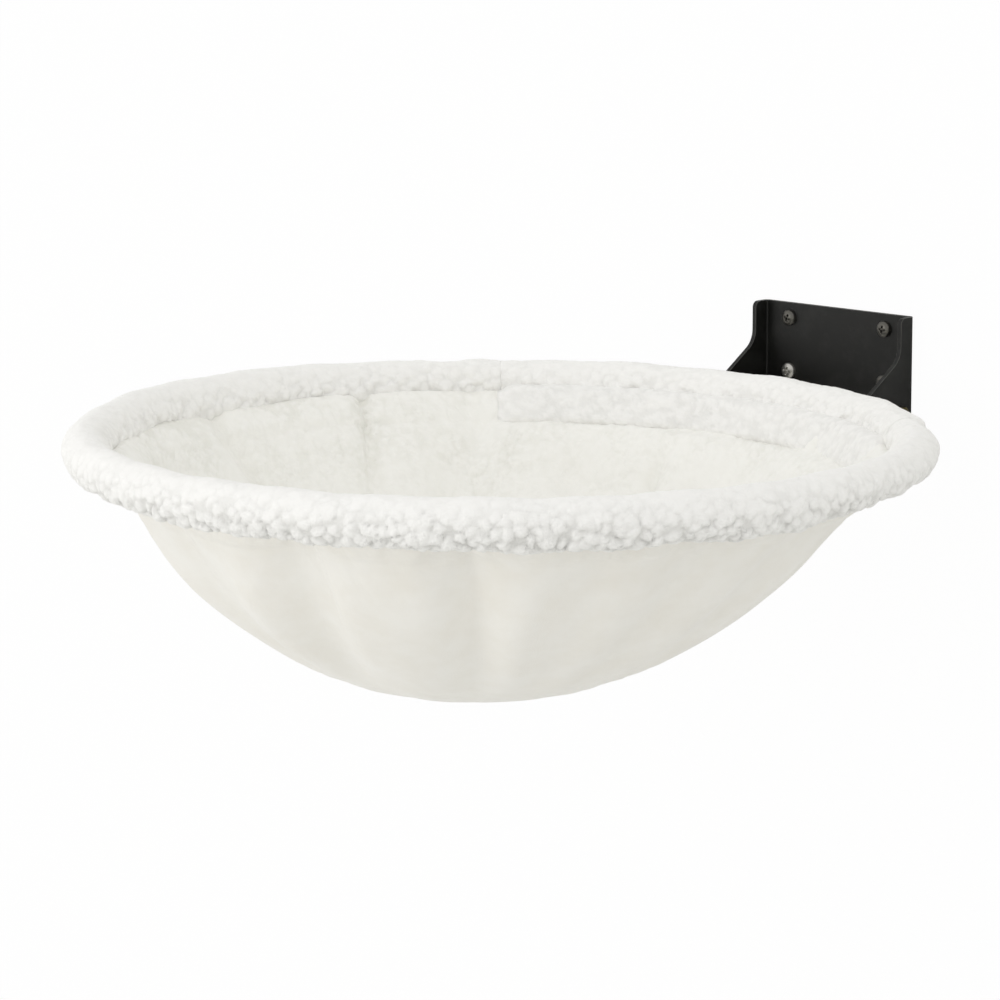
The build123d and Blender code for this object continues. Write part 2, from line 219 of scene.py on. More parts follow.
def blurred(grid: np.ndarray, rounds: int) -> np.ndarray:
    """Evens out a grid of points, its edge kept in place.

    Args:
        grid: Points, with two grid axes and one for x, y and z.
        rounds: How often each point moves to the mean of its neighbours and itself.

    Returns:
        The evened grid.
    """
    made = grid.copy()
    for _ in range(rounds):
        made[1:-1, 1:-1] = (made[1:-1, 1:-1] * 2 + made[:-2, 1:-1] + made[2:, 1:-1]
                            + made[1:-1, :-2] + made[1:-1, 2:]) / 6
    return made


def smooth_step(low: float, high: float, value: np.ndarray) -> np.ndarray:
    """Rises smoothly from 0 to 1 between two values."""
    t = np.clip((value - low) / (high - low), 0, 1)
    return t * t * (3 - 2 * t)


def full_turn(count: int) -> np.ndarray:
    """Angles of points that are spread evenly round a circle."""
    return np.linspace(0, 2 * math.pi, count + 1)[:-1]


@dataclass(frozen=True)
class Spot:
    """Where an effect is strongest, how far it reaches to either side and how strong it is."""

    middle: float
    width: float
    amount: float = 1.0

    def at(self, value: np.ndarray) -> np.ndarray:
        """Strength of the effect at each value, which fades smoothly from the middle."""
        return self.amount * np.exp(-((value - self.middle) / self.width) ** 2)


@contextmanager
def editing(mesh: bpy.types.Mesh) -> Iterator[bmesh.types.BMesh]:
    """Opens a mesh for work on its faces and writes it back afterwards."""
    work = bmesh.new()
    work.from_mesh(mesh)
    yield work
    work.to_mesh(mesh)
    work.free()


def turn_outward(piece: bpy.types.Object) -> None:
    """Points every face of a closed piece outwards."""
    with editing(piece.data) as work:
        bmesh.ops.recalc_face_normals(work, faces=work.faces)


def mark_pile(piece: bpy.types.Object, *shares: np.ndarray) -> None:
    """Stores the share of the curls' height at each point, part by part of the mesh."""
    values = np.concatenate([share.ravel() for share in shares])
    piece.data.attributes.new("pile", "FLOAT", "POINT").data.foreach_set("value", values)


def dress(piece: bpy.types.Object, *materials: bpy.types.Material) -> None:
    """Gives a piece its materials, in place of those it has."""
    piece.data.materials.clear()
    for material in materials:
        piece.data.materials.append(material)


def as_mesh(piece: bpy.types.Object) -> None:
    """Applies a piece's modifiers, as one plain mesh."""
    graph = bpy.context.evaluated_depsgraph_get()
    graph.update()
    made = bpy.data.meshes.new_from_object(piece.evaluated_get(graph), depsgraph=graph)
    piece.modifiers.clear()
    old = piece.data
    piece.data = made
    made.name = piece.name
    bpy.data.meshes.remove(old)


def settle(piece: bpy.types.Object, slot: str, *nodes: str) -> None:
    """Ties a finished piece to the body and hides the CAD nodes that it replaces."""
    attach(piece, "root")
    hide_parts(*nodes)
    LOG.info("%s: %d faces, for %s", piece.name, len(piece.data.polygons), ", ".join(nodes))


# ---------------------------------------------------------------- finishes

@dataclass(frozen=True)
class Finish:
    """What every finish has: a name and its plain surface values."""

    name: str
    colour: str
    roughness: float


class Shading:
    """A finish's material, with the nodes that finishes are put together from."""

    def __init__(self, finish: Finish, **values: float) -> None:
        """Makes the material.

        Args:
            finish: Finish with its name and its plain surface values.
            **values: Other constant values of the shader, with _ for a space.
        """
        self.finish = finish
        self.material = bpy.data.materials.new(finish.name)
        self.material.use_nodes = True
        self.tree = self.material.node_tree
        self.shader = next(n for n in self.tree.nodes if n.type == "BSDF_PRINCIPLED")
        self.shader.inputs["Base Color"].default_value = linear(finish.colour)
        self.shader.inputs["Roughness"].default_value = finish.roughness
        for name, value in values.items():
            self.shader.inputs[name.replace("_", " ")].default_value = value
        self.place = add_node(self.tree, "ShaderNodeTexCoord").outputs["Object"]

    def attribute(self, name: str) -> bpy.types.NodeSocket:
        """Adds the value of a piece's own attribute."""
        return add_node(self.tree, "ShaderNodeAttribute", attribute_name=name).outputs["Fac"]

    def noise(self, width: float, output: str = "Fac", **inputs: float) -> bpy.types.NodeSocket:
        """Adds noise.

        Args:
            width: Width of its grains, in millimetres.
            output: Output to return, "Fac" or "Color".
            **inputs: Values of its other inputs.

        Returns:
            The output.
        """
        values = {"Vector": self.place, "Scale": 1 / (width * MM), **inputs}
        return add_node(self.tree, "ShaderNodeTexNoise", values).outputs[output]

    def between(self, value: bpy.types.NodeSocket, start: tuple[float, float] = (0.0, 1.0),
                end: tuple[float, float] = (0.0, 1.0)) -> bpy.types.NodeSocket:
        """Maps one range of a value to another."""
        values = {"Value": value, "From Min": start[0], "From Max": start[1],
                  "To Min": end[0], "To Max": end[1]}
        return add_node(self.tree, "ShaderNodeMapRange", values).outputs["Result"]

    def tint(self, share: bpy.types.NodeSocket, second_colour: str) -> None:
        """Blends the finish's colour with a second one."""
        mix = add_node(self.tree, "ShaderNodeMix", {"Factor": share}, data_type="RGBA")
        # Mix keeps a pair of inputs for each data type; 6 and 7 are its two colours.
        for number, colour in ((6, self.finish.colour), (7, second_colour)):
            mix.inputs[number].default_value = linear(colour)
        self.tree.links.new(mix.outputs[2], self.shader.inputs["Base Color"])

    def gloss(self, marks: bpy.types.NodeSocket, less: float, more: float) -> None:
        """Varies the roughness, from somewhat less than the finish's to somewhat more."""
        rough = self.finish.roughness
        varied = self.between(marks, end=(rough - less, rough + more))
        self.tree.links.new(varied, self.shader.inputs["Roughness"])

    def bump(self, height: bpy.types.NodeSocket, strength: float | bpy.types.NodeSocket,
             relief: float, under: bpy.types.NodeSocket | None = None,
             invert: bool = False) -> bpy.types.NodeSocket:
        """Adds a bump and gives it to the shader.

        Args:
            height: Height of the surface, from 0 to 1.
            strength: Share of the bump that shows.
            relief: Height in millimetres.
            under: Normal of the bump that this one lies on.
            invert: Whether it goes down instead of up.

        Returns:
            Its normal.
        """
        values = {"Height": height, "Strength": strength, "Distance": relief * MM}
        if under is not None:
            values["Normal"] = under
        normal = add_node(self.tree, "ShaderNodeBump", values, invert=invert).outputs["Normal"]
        self.tree.links.new(normal, self.shader.inputs["Normal"])
        return normal


@dataclass(frozen=True)
class SherpaPile(Finish):
    """Polyester sherpa: knitted pile steamed into curls, so light sinks in and no gloss shows."""

    # Painted shade: the darker colour of the crevices between the curls.
    crevice_shade_colour: str = "#dbdad6"
    lump: float = 2.3             # width of the small lumps that a curl is made of
    lump_relief: float = 0.8
    lump_drift: float = 1.4       # how far a lump may drift, as a share of its width
    fuzz: float = 0.7             # width of the loose fibres' grain
    fuzz_relief: float = 0.25
    patch: float = 28.0           # width of the places where the pile is brushed flat
    patchy: float = 0.4           # how far the lumps fade there

    def material(self) -> bpy.types.Material:
        """Builds the material; crevices between the curls get painted shade and lumps are raised.
        """
        make = Shading(self, Sheen_Weight=0.25, Sheen_Roughness=0.6, Specular_IOR_Level=0.15)
        depth = make.between(make.noise(self.patch, Detail=2.0), (0.35, 0.65),
                             (1 - self.patchy, 1.0))
        # Painted shade: crevices between the curls are tinted darker, less where the pile is
        # brushed flat.
        make.tint(add_math(make.tree, "MULTIPLY", make.attribute("crevice"), depth, clamp=True),
                  self.crevice_shade_colour)
        drifted = add_node(make.tree, "ShaderNodeVectorMath",
                           {0: make.noise(2 * self.lump, "Color", Detail=1.0),
                            1: (self.lump_drift * self.lump * MM,) * 3, 2: make.place},
                           operation="MULTIPLY_ADD")
        lumps = add_node(make.tree, "ShaderNodeTexVoronoi",
                         {"Vector": drifted.outputs[0], "Scale": 1 / (self.lump * MM),
                          "Smoothness": 0.35}, feature="SMOOTH_F1")
        # Where the pile stands low, a quarter of the relief is left.
        stand = add_math(make.tree, "MULTIPLY_ADD", make.attribute("pile"), 0.75, 0.25, clamp=True)
        raised = make.bump(lumps.outputs["Distance"],
                           add_math(make.tree, "MULTIPLY", depth, stand),
                           self.lump_relief, invert=True)
        fuzz = make.noise(self.fuzz, Detail=3.0, Roughness=0.65, Distortion=0.8)
        make.bump(fuzz, 0.7, self.fuzz_relief, under=raised)
        return make.material


@dataclass(frozen=True)
class NappedCloth(Finish):
    """Brushed polyester knit: a short nap over a plain ground, mottled where the nap lies over."""

    mottle_colour: str = "#efece4"
    nap: float = 0.8
    nap_relief: float = 0.2
    mottle: float = 26.0

    def material(self) -> bpy.types.Material:
        """Builds the material; the nap gives a fine grain and the mottle soft patches."""
        make = Shading(self, Sheen_Weight=0.3, Sheen_Roughness=0.5, Specular_IOR_Level=0.2)
        patches = make.noise(self.mottle, Detail=5.0, Roughness=0.6)
        make.tint(make.between(patches, (0.38, 0.68)), self.mottle_colour)
        make.bump(make.noise(self.nap, Detail=2.0), 0.5, self.nap_relief)
        return make.material


@dataclass(frozen=True)
class PowderCoat(Finish):
    """Black polyester powder coat, baked on steel: satin, with a fine orange peel."""

    peel: float = 0.7
    peel_relief: float = 0.05
    scuff: float = 22.0
    scuff_colour: str = "#262624"
    gloss_level: float = 0.27

    def material(self) -> bpy.types.Material:
        """Builds the material; the peel is a soft bump and faint scuffs lift the black."""
        make = Shading(self, Specular_IOR_Level=self.gloss_level)
        scuffs = make.noise(self.scuff, Detail=6.0, Roughness=0.7)
        make.tint(make.between(scuffs, (0.5, 0.85)), self.scuff_colour)
        make.gloss(scuffs, 0.08, 0.12)
        make.bump(make.noise(self.peel, Detail=1.0), 0.25, self.peel_relief)
        return make.material


@dataclass(frozen=True)
class PlatedSteel(Finish):
    """Zinc-plated steel, passivated dark, a metal with faint drawing marks; its paler copies on the
    bracket's edges and on one wall screw are painted highlight and painted reflection.
    """

    metallic: float = 0.9
    mark: float = 0.5
    mark_relief: float = 0.02

    def material(self) -> bpy.types.Material:
        """Builds the material; the marks vary its gloss a little."""
        make = Shading(self, Metallic=self.metallic)
        marks = make.noise(self.mark, Detail=4.0, Roughness=0.7)
        make.gloss(marks, 0.1, 0.15)
        make.bump(marks, 0.2, self.mark_relief)
        return make.material


@dataclass(frozen=True)
class HookTape(Finish):
    """Woven nylon tape set with hooks or loops: rows of tiny bumps across it."""

    pitch: float = 1.6
    relief: float = 0.3

    def material(self) -> bpy.types.Material:
        """Builds the material; nearly square cells make its rows."""
        make = Shading(self, Sheen_Weight=0.2)
        cells = add_node(make.tree, "ShaderNodeTexVoronoi",
                         {"Vector": make.place, "Scale": 1 / (self.pitch * MM),
                          "Randomness": 0.15})
        make.bump(cells.outputs["Distance"], 0.6, self.relief)
        return make.material


class Finishes:
    """The hammock's materials, built once each."""

    def __init__(self) -> None:
        """Builds every material."""
        self.rim_pile = SherpaPile("rim_sherpa_pile", "#f6f5f2", 0.95).material()
        self.lining_pile = SherpaPile("lining_sherpa_pile", "#f7f6f1", 0.95,
                                      crevice_shade_colour="#e9e8e0", lump=2.6, lump_relief=0.8,
                                      fuzz=1.0, fuzz_relief=0.3, patchy=0.8).material()
        self.shell = NappedCloth("outer_brushed_knit", "#f3f1eb", 0.9).material()
        self.coat = PowderCoat("bracket_powder_coat", "#11110f", 0.42).material()
        self.hoop_coat = PowderCoat("hoop_powder_coat", "#1f1f1e", 0.45).material()
        # Painted highlight: pale metal colour on the bracket's rounded edges.
        self.edge_highlight_paint = PlatedSteel("rubbed_bracket_edge", "#6d6c67", 0.5, metallic=0.4).material()
        self.black_screw = PlatedSteel("black_zinc_screw", "#5c5a55", 0.32).material()
        # Painted reflection: a paler copy of the screw metal, for one screw.
        self.paler_screw_reflection = PlatedSteel("bright_zinc_screw", "#b4b2ac", 0.3).material()
        self.bolt = PlatedSteel("olive_zinc_bolt", "#5d5536", 0.4).material()
        self.tape = HookTape("nylon_hook_tape", "#e9e8e3", 0.7).material()


# ---------------------------------------------------------------- geometry node tools

def new_tree(name: str, inputs: Sequence[tuple[str, str, float | None]]) -> bpy.types.NodeTree:
    """Makes a geometry node tree, without its nodes.

    Args:
        name: Name of the tree.
        inputs: Name, kind of socket and value of each input after the geometry.

    Returns:
        The tree.
    """
    tree = bpy.data.node_groups.new(name, "GeometryNodeTree")
    for title, kind, value in (("Geometry", "Geometry", None), *inputs):
        socket = tree.interface.new_socket(title, in_out="INPUT", socket_type=f"NodeSocket{kind}")
        if value is not None:
            socket.default_value = value
    tree.interface.new_socket("Geometry", in_out="OUTPUT", socket_type="NodeSocketGeometry")
    return tree


def end_tree(tree: bpy.types.NodeTree, geometry: bpy.types.NodeSocket,
             material: bpy.types.NodeSocket) -> None:
    """Ends a tree with its instances made real and its material set."""
    real = add_node(tree, "GeometryNodeRealizeInstances", {"Geometry": geometry})
    dressed = add_node(tree, "GeometryNodeSetMaterial",
                       {"Geometry": real.outputs[0], "Material": material})
    add_node(tree, "NodeGroupOutput", {"Geometry": dressed.outputs[0]})


def run_tree(tree: bpy.types.NodeTree, piece: bpy.types.Object, values: dict[str, Any]) -> None:
    """Runs a tree on a piece and leaves it a plain mesh.

    Args:
        tree: Geometry node tree.
        piece: Mesh object.
        values: Value of each of the tree's named inputs.
    """
    modifier = piece.modifiers.new(tree.name, "NODES")
    modifier.node_group = tree
    for item in tree.interface.items_tree:
        if item.in_out == "INPUT" and item.name in values:
            modifier[item.identifier] = values[item.name]
    as_mesh(piece)


@dataclass(frozen=True)
class Curls:
    """Size of a fleece's curls and of the lumps on them, in millimetres."""

    size: float = 6.5
    height: float = 2.6
    lump_size: float = 2.6
    lump_height: float = 0.5


class PileTree:
    """Geometry nodes that raise a fleece surface into round curls along its normals, and store
    where painted shade lies between them.
    """

    spacing = 0.66                # least distance between two curls, as a share of their size
    densest = 1.0e5               # most curls on a square metre
    reach = 0.62                  # radius of a curl, as a share of its size
    size_range = (0.65, 1.15)
    lump_reach = 0.8
    drift = 1.3                   # how far a curl's outline drifts, as a share of its size

    def __init__(self) -> None:
        """Builds the tree."""
        usual = Curls()
        self.tree = tree = new_tree("Raise curls", (
            ("Curl Size", "Float", usual.size * MM), ("Curl Height", "Float", usual.height * MM),
            ("Lump Size", "Float", usual.lump_size * MM),
            ("Lump Height", "Float", usual.lump_height * MM),
            ("Seed", "Int", None), ("Material", "Material", None)))
        given = add_node(tree, "NodeGroupInput").outputs
        share = add_node(tree, "GeometryNodeInputNamedAttribute", {"Name": "pile"},
                         data_type="FLOAT").outputs["Attribute"]
        soft = add_node(tree, "FunctionNodeCompare", {0: share, 1: 0.01}, data_type="FLOAT",
                        operation="GREATER_THAN")
        spots = add_node(tree, "GeometryNodeDistributePointsOnFaces",
                         {"Mesh": given["Geometry"], "Selection": soft.outputs[0],
                          "Distance Min": self._math("MULTIPLY", given["Curl Size"], self.spacing),
                          "Density Max": self.densest, "Seed": given["Seed"]},
                         distribute_method="POISSON").outputs["Points"]
        place = self._drifted(given["Curl Size"])
        nearest = add_node(tree, "GeometryNodeProximity",
                           {"Geometry": spots, "Sample Position": place}, target_element="POINTS")
        number = add_node(tree, "GeometryNodeSampleNearest",
                          {"Geometry": spots, "Sample Position": place}, domain="POINT")
        chance = add_node(tree, "FunctionNodeRandomValue",
                          {"ID": number.outputs[0], "Seed": given["Seed"]}, data_type="FLOAT")
        low, high = self.size_range
        size = self._math("MULTIPLY_ADD", chance.outputs[1], high - low, low)
        reach = self._math("MULTIPLY", self._math("MULTIPLY", given["Curl Size"], self.reach), size)
        curls = self._dome(self._math("DIVIDE", nearest.outputs["Distance"], reach, clamp=True))
        cells = add_node(tree, "ShaderNodeTexVoronoi",
                         {"Vector": place, "Scale": self._math("DIVIDE", 1.0, given["Lump Size"])})
        lumps = self._dome(self._math("DIVIDE", cells.outputs["Distance"], self.lump_reach,
                                      clamp=True))
        tall = self._math("MULTIPLY", self._math("MULTIPLY", curls, given["Curl Height"]), size)
        both = self._math("MULTIPLY_ADD", lumps, given["Lump Height"], tall)
        normal = add_node(tree, "GeometryNodeInputNormal").outputs[0]
        offset = add_node(tree, "ShaderNodeVectorMath",
                          {0: normal, "Scale": self._math("MULTIPLY", both, share)},
                          operation="SCALE")
        # Painted shade: how deep a point lies between the curls, times the pile's share, for the
        # material to darken.
        painted_shade = self._math("MULTIPLY", self._math("SUBTRACT", 1.0, curls), share)
        kept = add_node(tree, "GeometryNodeStoreNamedAttribute",
                        {"Geometry": given["Geometry"], "Name": "crevice", "Value": painted_shade},
                        data_type="FLOAT", domain="POINT")
        raised = add_node(tree, "GeometryNodeSetPosition",
                          {"Geometry": kept.outputs[0], "Offset": offset.outputs[0]})
        end_tree(tree, raised.outputs[0], given["Material"])

    def _math(self, operation: str, *values: Any, clamp: bool = False) -> bpy.types.NodeSocket:
        """Adds a sum to the tree."""
        return add_math(self.tree, operation, *values, clamp=clamp)

    def _drifted(self, curl_size: bpy.types.NodeSocket) -> bpy.types.NodeSocket:
        """Adds the surface's position, drifted a little so that no curl comes out round."""
        here = add_node(self.tree, "GeometryNodeInputPosition").outputs[0]
        noise = add_node(self.tree, "ShaderNodeTexNoise",
                         {"Vector": here, "Scale": self._math("DIVIDE", 0.9, curl_size),
                          "Detail": 2.0})
        middle = add_node(self.tree, "ShaderNodeVectorMath",
                          {0: noise.outputs["Color"], 1: (0.5, 0.5, 0.5)}, operation="SUBTRACT")
        far = self._math("MULTIPLY", curl_size, self.drift)
        step = add_node(self.tree, "ShaderNodeVectorMath", {0: middle.outputs[0], "Scale": far},
                        operation="SCALE")
        return add_node(self.tree, "ShaderNodeVectorMath",
                        {0: here, 1: step.outputs[0]}).outputs[0]

    def _dome(self, share: bpy.types.NodeSocket) -> bpy.types.NodeSocket:
        """Adds a soft dome: 1 where the share is 0, falling to 0 where it is 1."""
        fall = self._math("SUBTRACT", 1.0, self._math("POWER", share, 2.0))
        return self._math("POWER", fall, 0.7)

    def raise_curls(self, piece: bpy.types.Object, material: bpy.types.Material, curls: Curls,
                    seed: int) -> None:
        """Raises a piece's curls and leaves it a plain mesh.

        Args:
            piece: Mesh with a point attribute "pile", 0 where it stays smooth.
            material: Material of the result.
            curls: Sizes of the curls.
            seed: Number that sets where they stand.
        """
        run_tree(self.tree, piece, {
            "Curl Size": curls.size * MM, "Curl Height": curls.height * MM,
            "Lump Size": curls.lump_size * MM, "Lump Height": curls.lump_height * MM,
            "Seed": seed, "Material": material})


class CopyTree:
    """Geometry nodes that set a copy of a piece on each of a few points."""

    def __init__(self) -> None:
        """Builds the tree."""
        self.tree = tree = new_tree("Set on points", (
            ("Piece", "Object", None), ("Size", "Float", 1.0), ("Material", "Material", None)))
        given = add_node(tree, "NodeGroupInput").outputs
        piece = add_node(tree, "GeometryNodeObjectInfo", {"Object": given["Piece"]})
        turn = add_node(tree, "GeometryNodeInputNamedAttribute", {"Name": "turn"},
                        data_type="FLOAT_VECTOR")
        copies = add_node(tree, "GeometryNodeInstanceOnPoints",
                          {"Points": given["Geometry"], "Instance": piece.outputs["Geometry"],
                           "Rotation": turn.outputs["Attribute"], "Scale": given["Size"]})
        end_tree(tree, copies.outputs[0], given["Material"])

    def copies(self, name: str, piece: bpy.types.Object, material: bpy.types.Material,
               points: Sequence[Sequence[float]], turns: Sequence[Sequence[float]]
               ) -> bpy.types.Object:
        """Makes one object of a piece's copies.

        Args:
            name: Name of the new object.
            piece: Object to copy; it is removed afterwards.
            material: Material of the copies.
            points: Place of each copy, in millimetres.
            turns: XYZ Euler angles of each copy.

        Returns:
            The new object.
        """
        made = mesh_object(name, np.array(points, float) * MM, [])
        turn = made.data.attributes.new("turn", "FLOAT_VECTOR", "POINT")
        turn.data.foreach_set("vector", np.array(turns, float).ravel())
        run_tree(self.tree, made, {"Piece": piece, "Size": 1.0, "Material": material})
        bpy.data.objects.remove(piece)
        return made


# ---------------------------------------------------------------- soft parts

@dataclass(frozen=True)
class Hoop:
    """The hoop that carries the fleece, in millimetres."""

    radius: float = 211.0
    reach: float = 278.5
    drop: float = 3.0
    closure_half_angle: float = 42.6      # half of the arc, on the wall side, that opens

    def place(self, across: np.ndarray, along: np.ndarray, height: np.ndarray) -> np.ndarray:
        """Turns points about the hoop's centre, in millimetres, into the frame's metres."""
        return np.stack([across, along - self.reach, height - self.drop], -1) * MM

    def ring(self, flat: np.ndarray, turn: np.ndarray, height: np.ndarray) -> np.ndarray:
        """Points at distances from the hoop's axis and angles round it, in the frame's metres."""
        return self.place(flat * np.cos(turn), flat * np.sin(turn), height + 0 * turn)


class Level(Enum):
    """Where a fold's run begins, as a share of the way from the rim to the lowest point."""

    TOP = 0.0
    MIDDLE = 0.1
    BELOW_CLOSURE = 0.18


@dataclass(frozen=True)
class Fold:
    """One narrow fold of the bowl, besides the waves between its creases."""

    angle: float      # degrees round the hoop from +X, seen from above
    width: float      # millimetres from its middle to where it has mostly faded
    depth: float      # millimetres outwards; inwards is negative
    length: float     # share of the way down over which it runs
    level: Level = Level.MIDDLE
    slant: float = 0.0    # degrees that it drifts over its length


def folded(folds: Sequence[Fold], degrees: np.ndarray, flat: np.ndarray,
           share: np.ndarray) -> np.ndarray:
    """How far a set of narrow folds moves each point of a cloth.

    Args:
        folds: The folds.
        degrees: Angle round the bowl.
        flat: Distance from the bowl's axis, in millimetres.
        share: Share of the way from the top level to the lowest point.

    Returns:
        Distances in millimetres.
    """
    moved = np.zeros_like(flat)
    for fold in folds:
        down = (share - fold.level.value) / fold.length
        middle = fold.angle + fold.slant * down
        away = np.radians((degrees - middle + 180) % 360 - 180) * flat
        # A fold fades in at the start of its run and out over the second half.
        run = smooth_step(-0.25, 0.2, down) * (1 - smooth_step(0.5, 1.1, down))
        moved += fold.depth * run * Spot(0, fold.width).at(away)
    return moved


@dataclass
class ClothSettings:
    """How a cloth is let settle."""

    frames: int = 16
    pressure: float = 0.0
    growth: float = 0.0           # share by which the cloth is cut larger than its start
    stiffness: float = 15.0
    bending: float = 2.0
    weight: float = 1.0           # share of gravity
    quality: int = 6              # steps to each frame
    mass: float = 0.25
    pin_stiffness: float = 5.0
    cap: float = 4.0              # furthest that a point may move, in millimetres


def let_settle(points: np.ndarray, faces: Sequence[Sequence[int]], held: np.ndarray,
               how: ClothSettings) -> np.ndarray:
    """Runs a short cloth simulation and returns where the points come to lie.

    Args:
        points: Array of shape (n, 3), in metres.
        faces: Corner numbers of each face.
        held: For each point, 1 where it is sewn fast and 0 where it is free.
        how: Settings of the cloth.

    Returns:
        The moved points.
    """
    cloth = mesh_object("cloth_at_work", points, faces)
    group = cloth.vertex_groups.new(name="held")
    for value in np.unique(np.round(held, 2)):
        numbers = np.nonzero(np.round(held, 2) == value)[0].tolist()
        if value > 0:
            group.add(numbers, float(value), "REPLACE")
    modifier = cloth.modifiers.new("cloth", "CLOTH")
    settings = modifier.settings
    settings.quality = how.quality
    settings.mass = how.mass
    settings.tension_stiffness = settings.compression_stiffness = how.stiffness
    settings.shear_stiffness = how.stiffness / 2
    settings.bending_stiffness = how.bending
    settings.vertex_group_mass = "held"
    settings.pin_stiffness = how.pin_stiffness
    settings.shrink_min = -how.growth
    settings.use_pressure = how.pressure > 0
    settings.uniform_pressure_force = how.pressure
    settings.effector_weights.gravity = how.weight
    modifier.collision_settings.use_collision = False
    modifier.point_cache.frame_start = 1
    modifier.point_cache.frame_end = how.frames
    scene = bpy.context.scene
    for number in range(1, how.frames + 1):
        scene.frame_set(number)
    graph = bpy.context.evaluated_depsgraph_get()
    settled = cloth.evaluated_get(graph).to_mesh()
    moved = np.empty(len(points) * 3)
    settled.vertices.foreach_get("co", moved)
    scene.frame_set(1)
    bpy.data.objects.remove(cloth)
    step = moved.reshape(-1, 3) - points
    length = np.linalg.norm(step, axis=1, keepdims=True)
    limit = how.cap * MM
    return points + step * np.where(length > limit, limit / np.maximum(length, 1e-9), 1)


@dataclass
class Bowl:
    """The two cloths of the bowl: a brushed shell outside and a sherpa lining inside."""

    hoop: Hoop = field(default_factory=Hoop)
    tuck: float = 11.4            # hoop's centreline in to the sphere, in the hoop's plane
    depth: float = 128.7
    top_height: float = 2.0       # where the levels begin, above the hoop's plane
    flare: float = 9.0            # how far the top stands out of the sphere
    flare_end: float = 39.0       # degrees below level where the flare ends
    edge_angle: float = 26.2      # degrees below level of the cloths' sewn edge
    lean: tuple[float, float] = (-4.9, -13.8)
    shell_thickness: float = 1.6
    ply_gap: float = 0.3
    lining_thickness: float = 5.2
    edge_roll: float = 9.0        # width of the lining's rounded edge at the seam
    steps: int = 110              # cells across the cloth before it is refined
    crowding: float = 0.09        # how much smaller its cells are near the edge
    refine: int = 2
    swell_bands: int = 24         # rings in which the cloth's common swell is taken out
    creases: tuple[float, ...] = (6, 36, 66, 96, 124, 153, 190, 222, 252, 281, 309, 328, 345)
    wave_share: float = 0.046     # height of a wave as a share of its width
    levels: tuple[float, ...] = (0, 0.09, 0.19, 0.34, 0.54, 0.77, 1)
    wave_levels: tuple[float, ...] = (0, 0.3, 0.65, 0.95, 0.9, 0.2, 0)
    lean_levels: tuple[float, ...] = (0, 0.0, 0.31, 0.6, 0.77, 0.91, 1)
    folds: tuple[Fold, ...] = (
        Fold(274, 12, 2.2, 0.6, Level.TOP, -14), Fold(284, 15, -4.6, 0.85, Level.TOP, -15),
        Fold(292, 10, 2.4, 0.85, Level.TOP, -12), Fold(300, 12, 1.8, 0.8, Level.TOP, 9),
        Fold(307, 13, -4.6, 0.9, Level.TOP, 11), Fold(317, 20, 1.5, 0.85, Level.TOP, 12),
        Fold(343, 14, -2.0, 0.5, Level.TOP, 4), Fold(330, 12, 1.0, 0.5, Level.TOP, 4),
        Fold(255, 10, -1.4, 0.5, Level.TOP, -8), Fold(20, 12, 1.2, 0.5, Level.TOP, -5),
        Fold(236, 10, 1.2, 0.5, Level.TOP, 4), Fold(42.6, 130, -2.0, 0.25, Level.TOP),
        Fold(155, 8, 3.4, 0.5, Level.TOP, 5), Fold(165, 15, -3.0, 0.6, Level.TOP, 4),
        Fold(146, 10, -1.8, 0.5, Level.TOP, 2), Fold(185, 9, 3.0, 0.3, Level.TOP, -4),
        Fold(196, 12, -1.8, 0.3, Level.TOP), Fold(99, 9, 3.0, 0.4, Level.BELOW_CLOSURE, 3),
        Fold(108, 12, -1.6, 0.4, Level.BELOW_CLOSURE), Fold(172, 14, -1.0, 0.3, Level.MIDDLE),
    )
    belly: Spot = Spot(0.68, 0.11)          # by share of the way down; outwards, in millimetres
    belly_left: Spot = Spot(245, 32, 1.2)   # by degrees; how much more it sags there
    gather: Spot = Spot(0.1, 0.09)          # by share of the way down; ripples by the seam
    gather_height: float = 0.35   # of those ripples
    partings: tuple[Fold, ...] = (   # creases where the lining's pile parts
        Fold(155, 5, 3.9, 0.7, Level.TOP, 7), Fold(186, 7, 4.2, 0.45, Level.TOP, -6),
        Fold(128, 3, 1.6, 0.12, Level.TOP, 2), Fold(99, 6, 3.6, 0.35, Level.BELOW_CLOSURE, 3),
        Fold(137, 5, 1.6, 0.4, Level.TOP, 3), Fold(118, 6, 1.4, 0.4, Level.BELOW_CLOSURE, 2),
        Fold(160.5, 12, -2.4, 0.8, Level.MIDDLE, 5), Fold(192, 20, 2.4, 0.35, Level.TOP, -4),
    )
    plump: float = 3.0            # how much thicker the pile is just below the closure's edge
    plump_left: Spot = Spot(109, 10, 0.6)   # by degrees; how much more it is there
    wide_roll: Spot = Spot(188, 22, 1.6)    # by degrees; how much wider the edge's roll is there
    least_edge: float = 0.8       # thickness of the lining at the seam
    least_pile: float = 0.7       # thickness that is left where the pile parts

    @property
    def radius(self) -> float:
        """Radius of the sphere of the outer face."""
        mouth = self.hoop.radius - self.tuck
        return (mouth**2 + self.depth**2) / (2 * self.depth)

    @property
    def top_angle(self) -> float:
        """Angle below level of the highest level, in radians."""
        return math.asin((self.radius - self.depth - self.top_height) / self.radius)

    def _way_down(self, rho: np.ndarray) -> tuple[np.ndarray, np.ndarray]:
        """Angle below level, and share of the way down, at shares of the way to the edge."""
        below = math.pi / 2 - rho * (math.pi / 2 - math.radians(self.edge_angle))
        return below, (below - self.top_angle) / (math.pi / 2 - self.top_angle)

    def reach(self, below: np.ndarray, radius: float) -> np.ndarray:
        """Distance from the bowl's axis at angles below level, on a sphere with the flare added."""
        end = math.radians(self.flare_end)
        flare = self.flare * np.clip((end - below) / (end - self.top_angle), 0, 1) ** 2
        return radius * np.cos(below) + flare

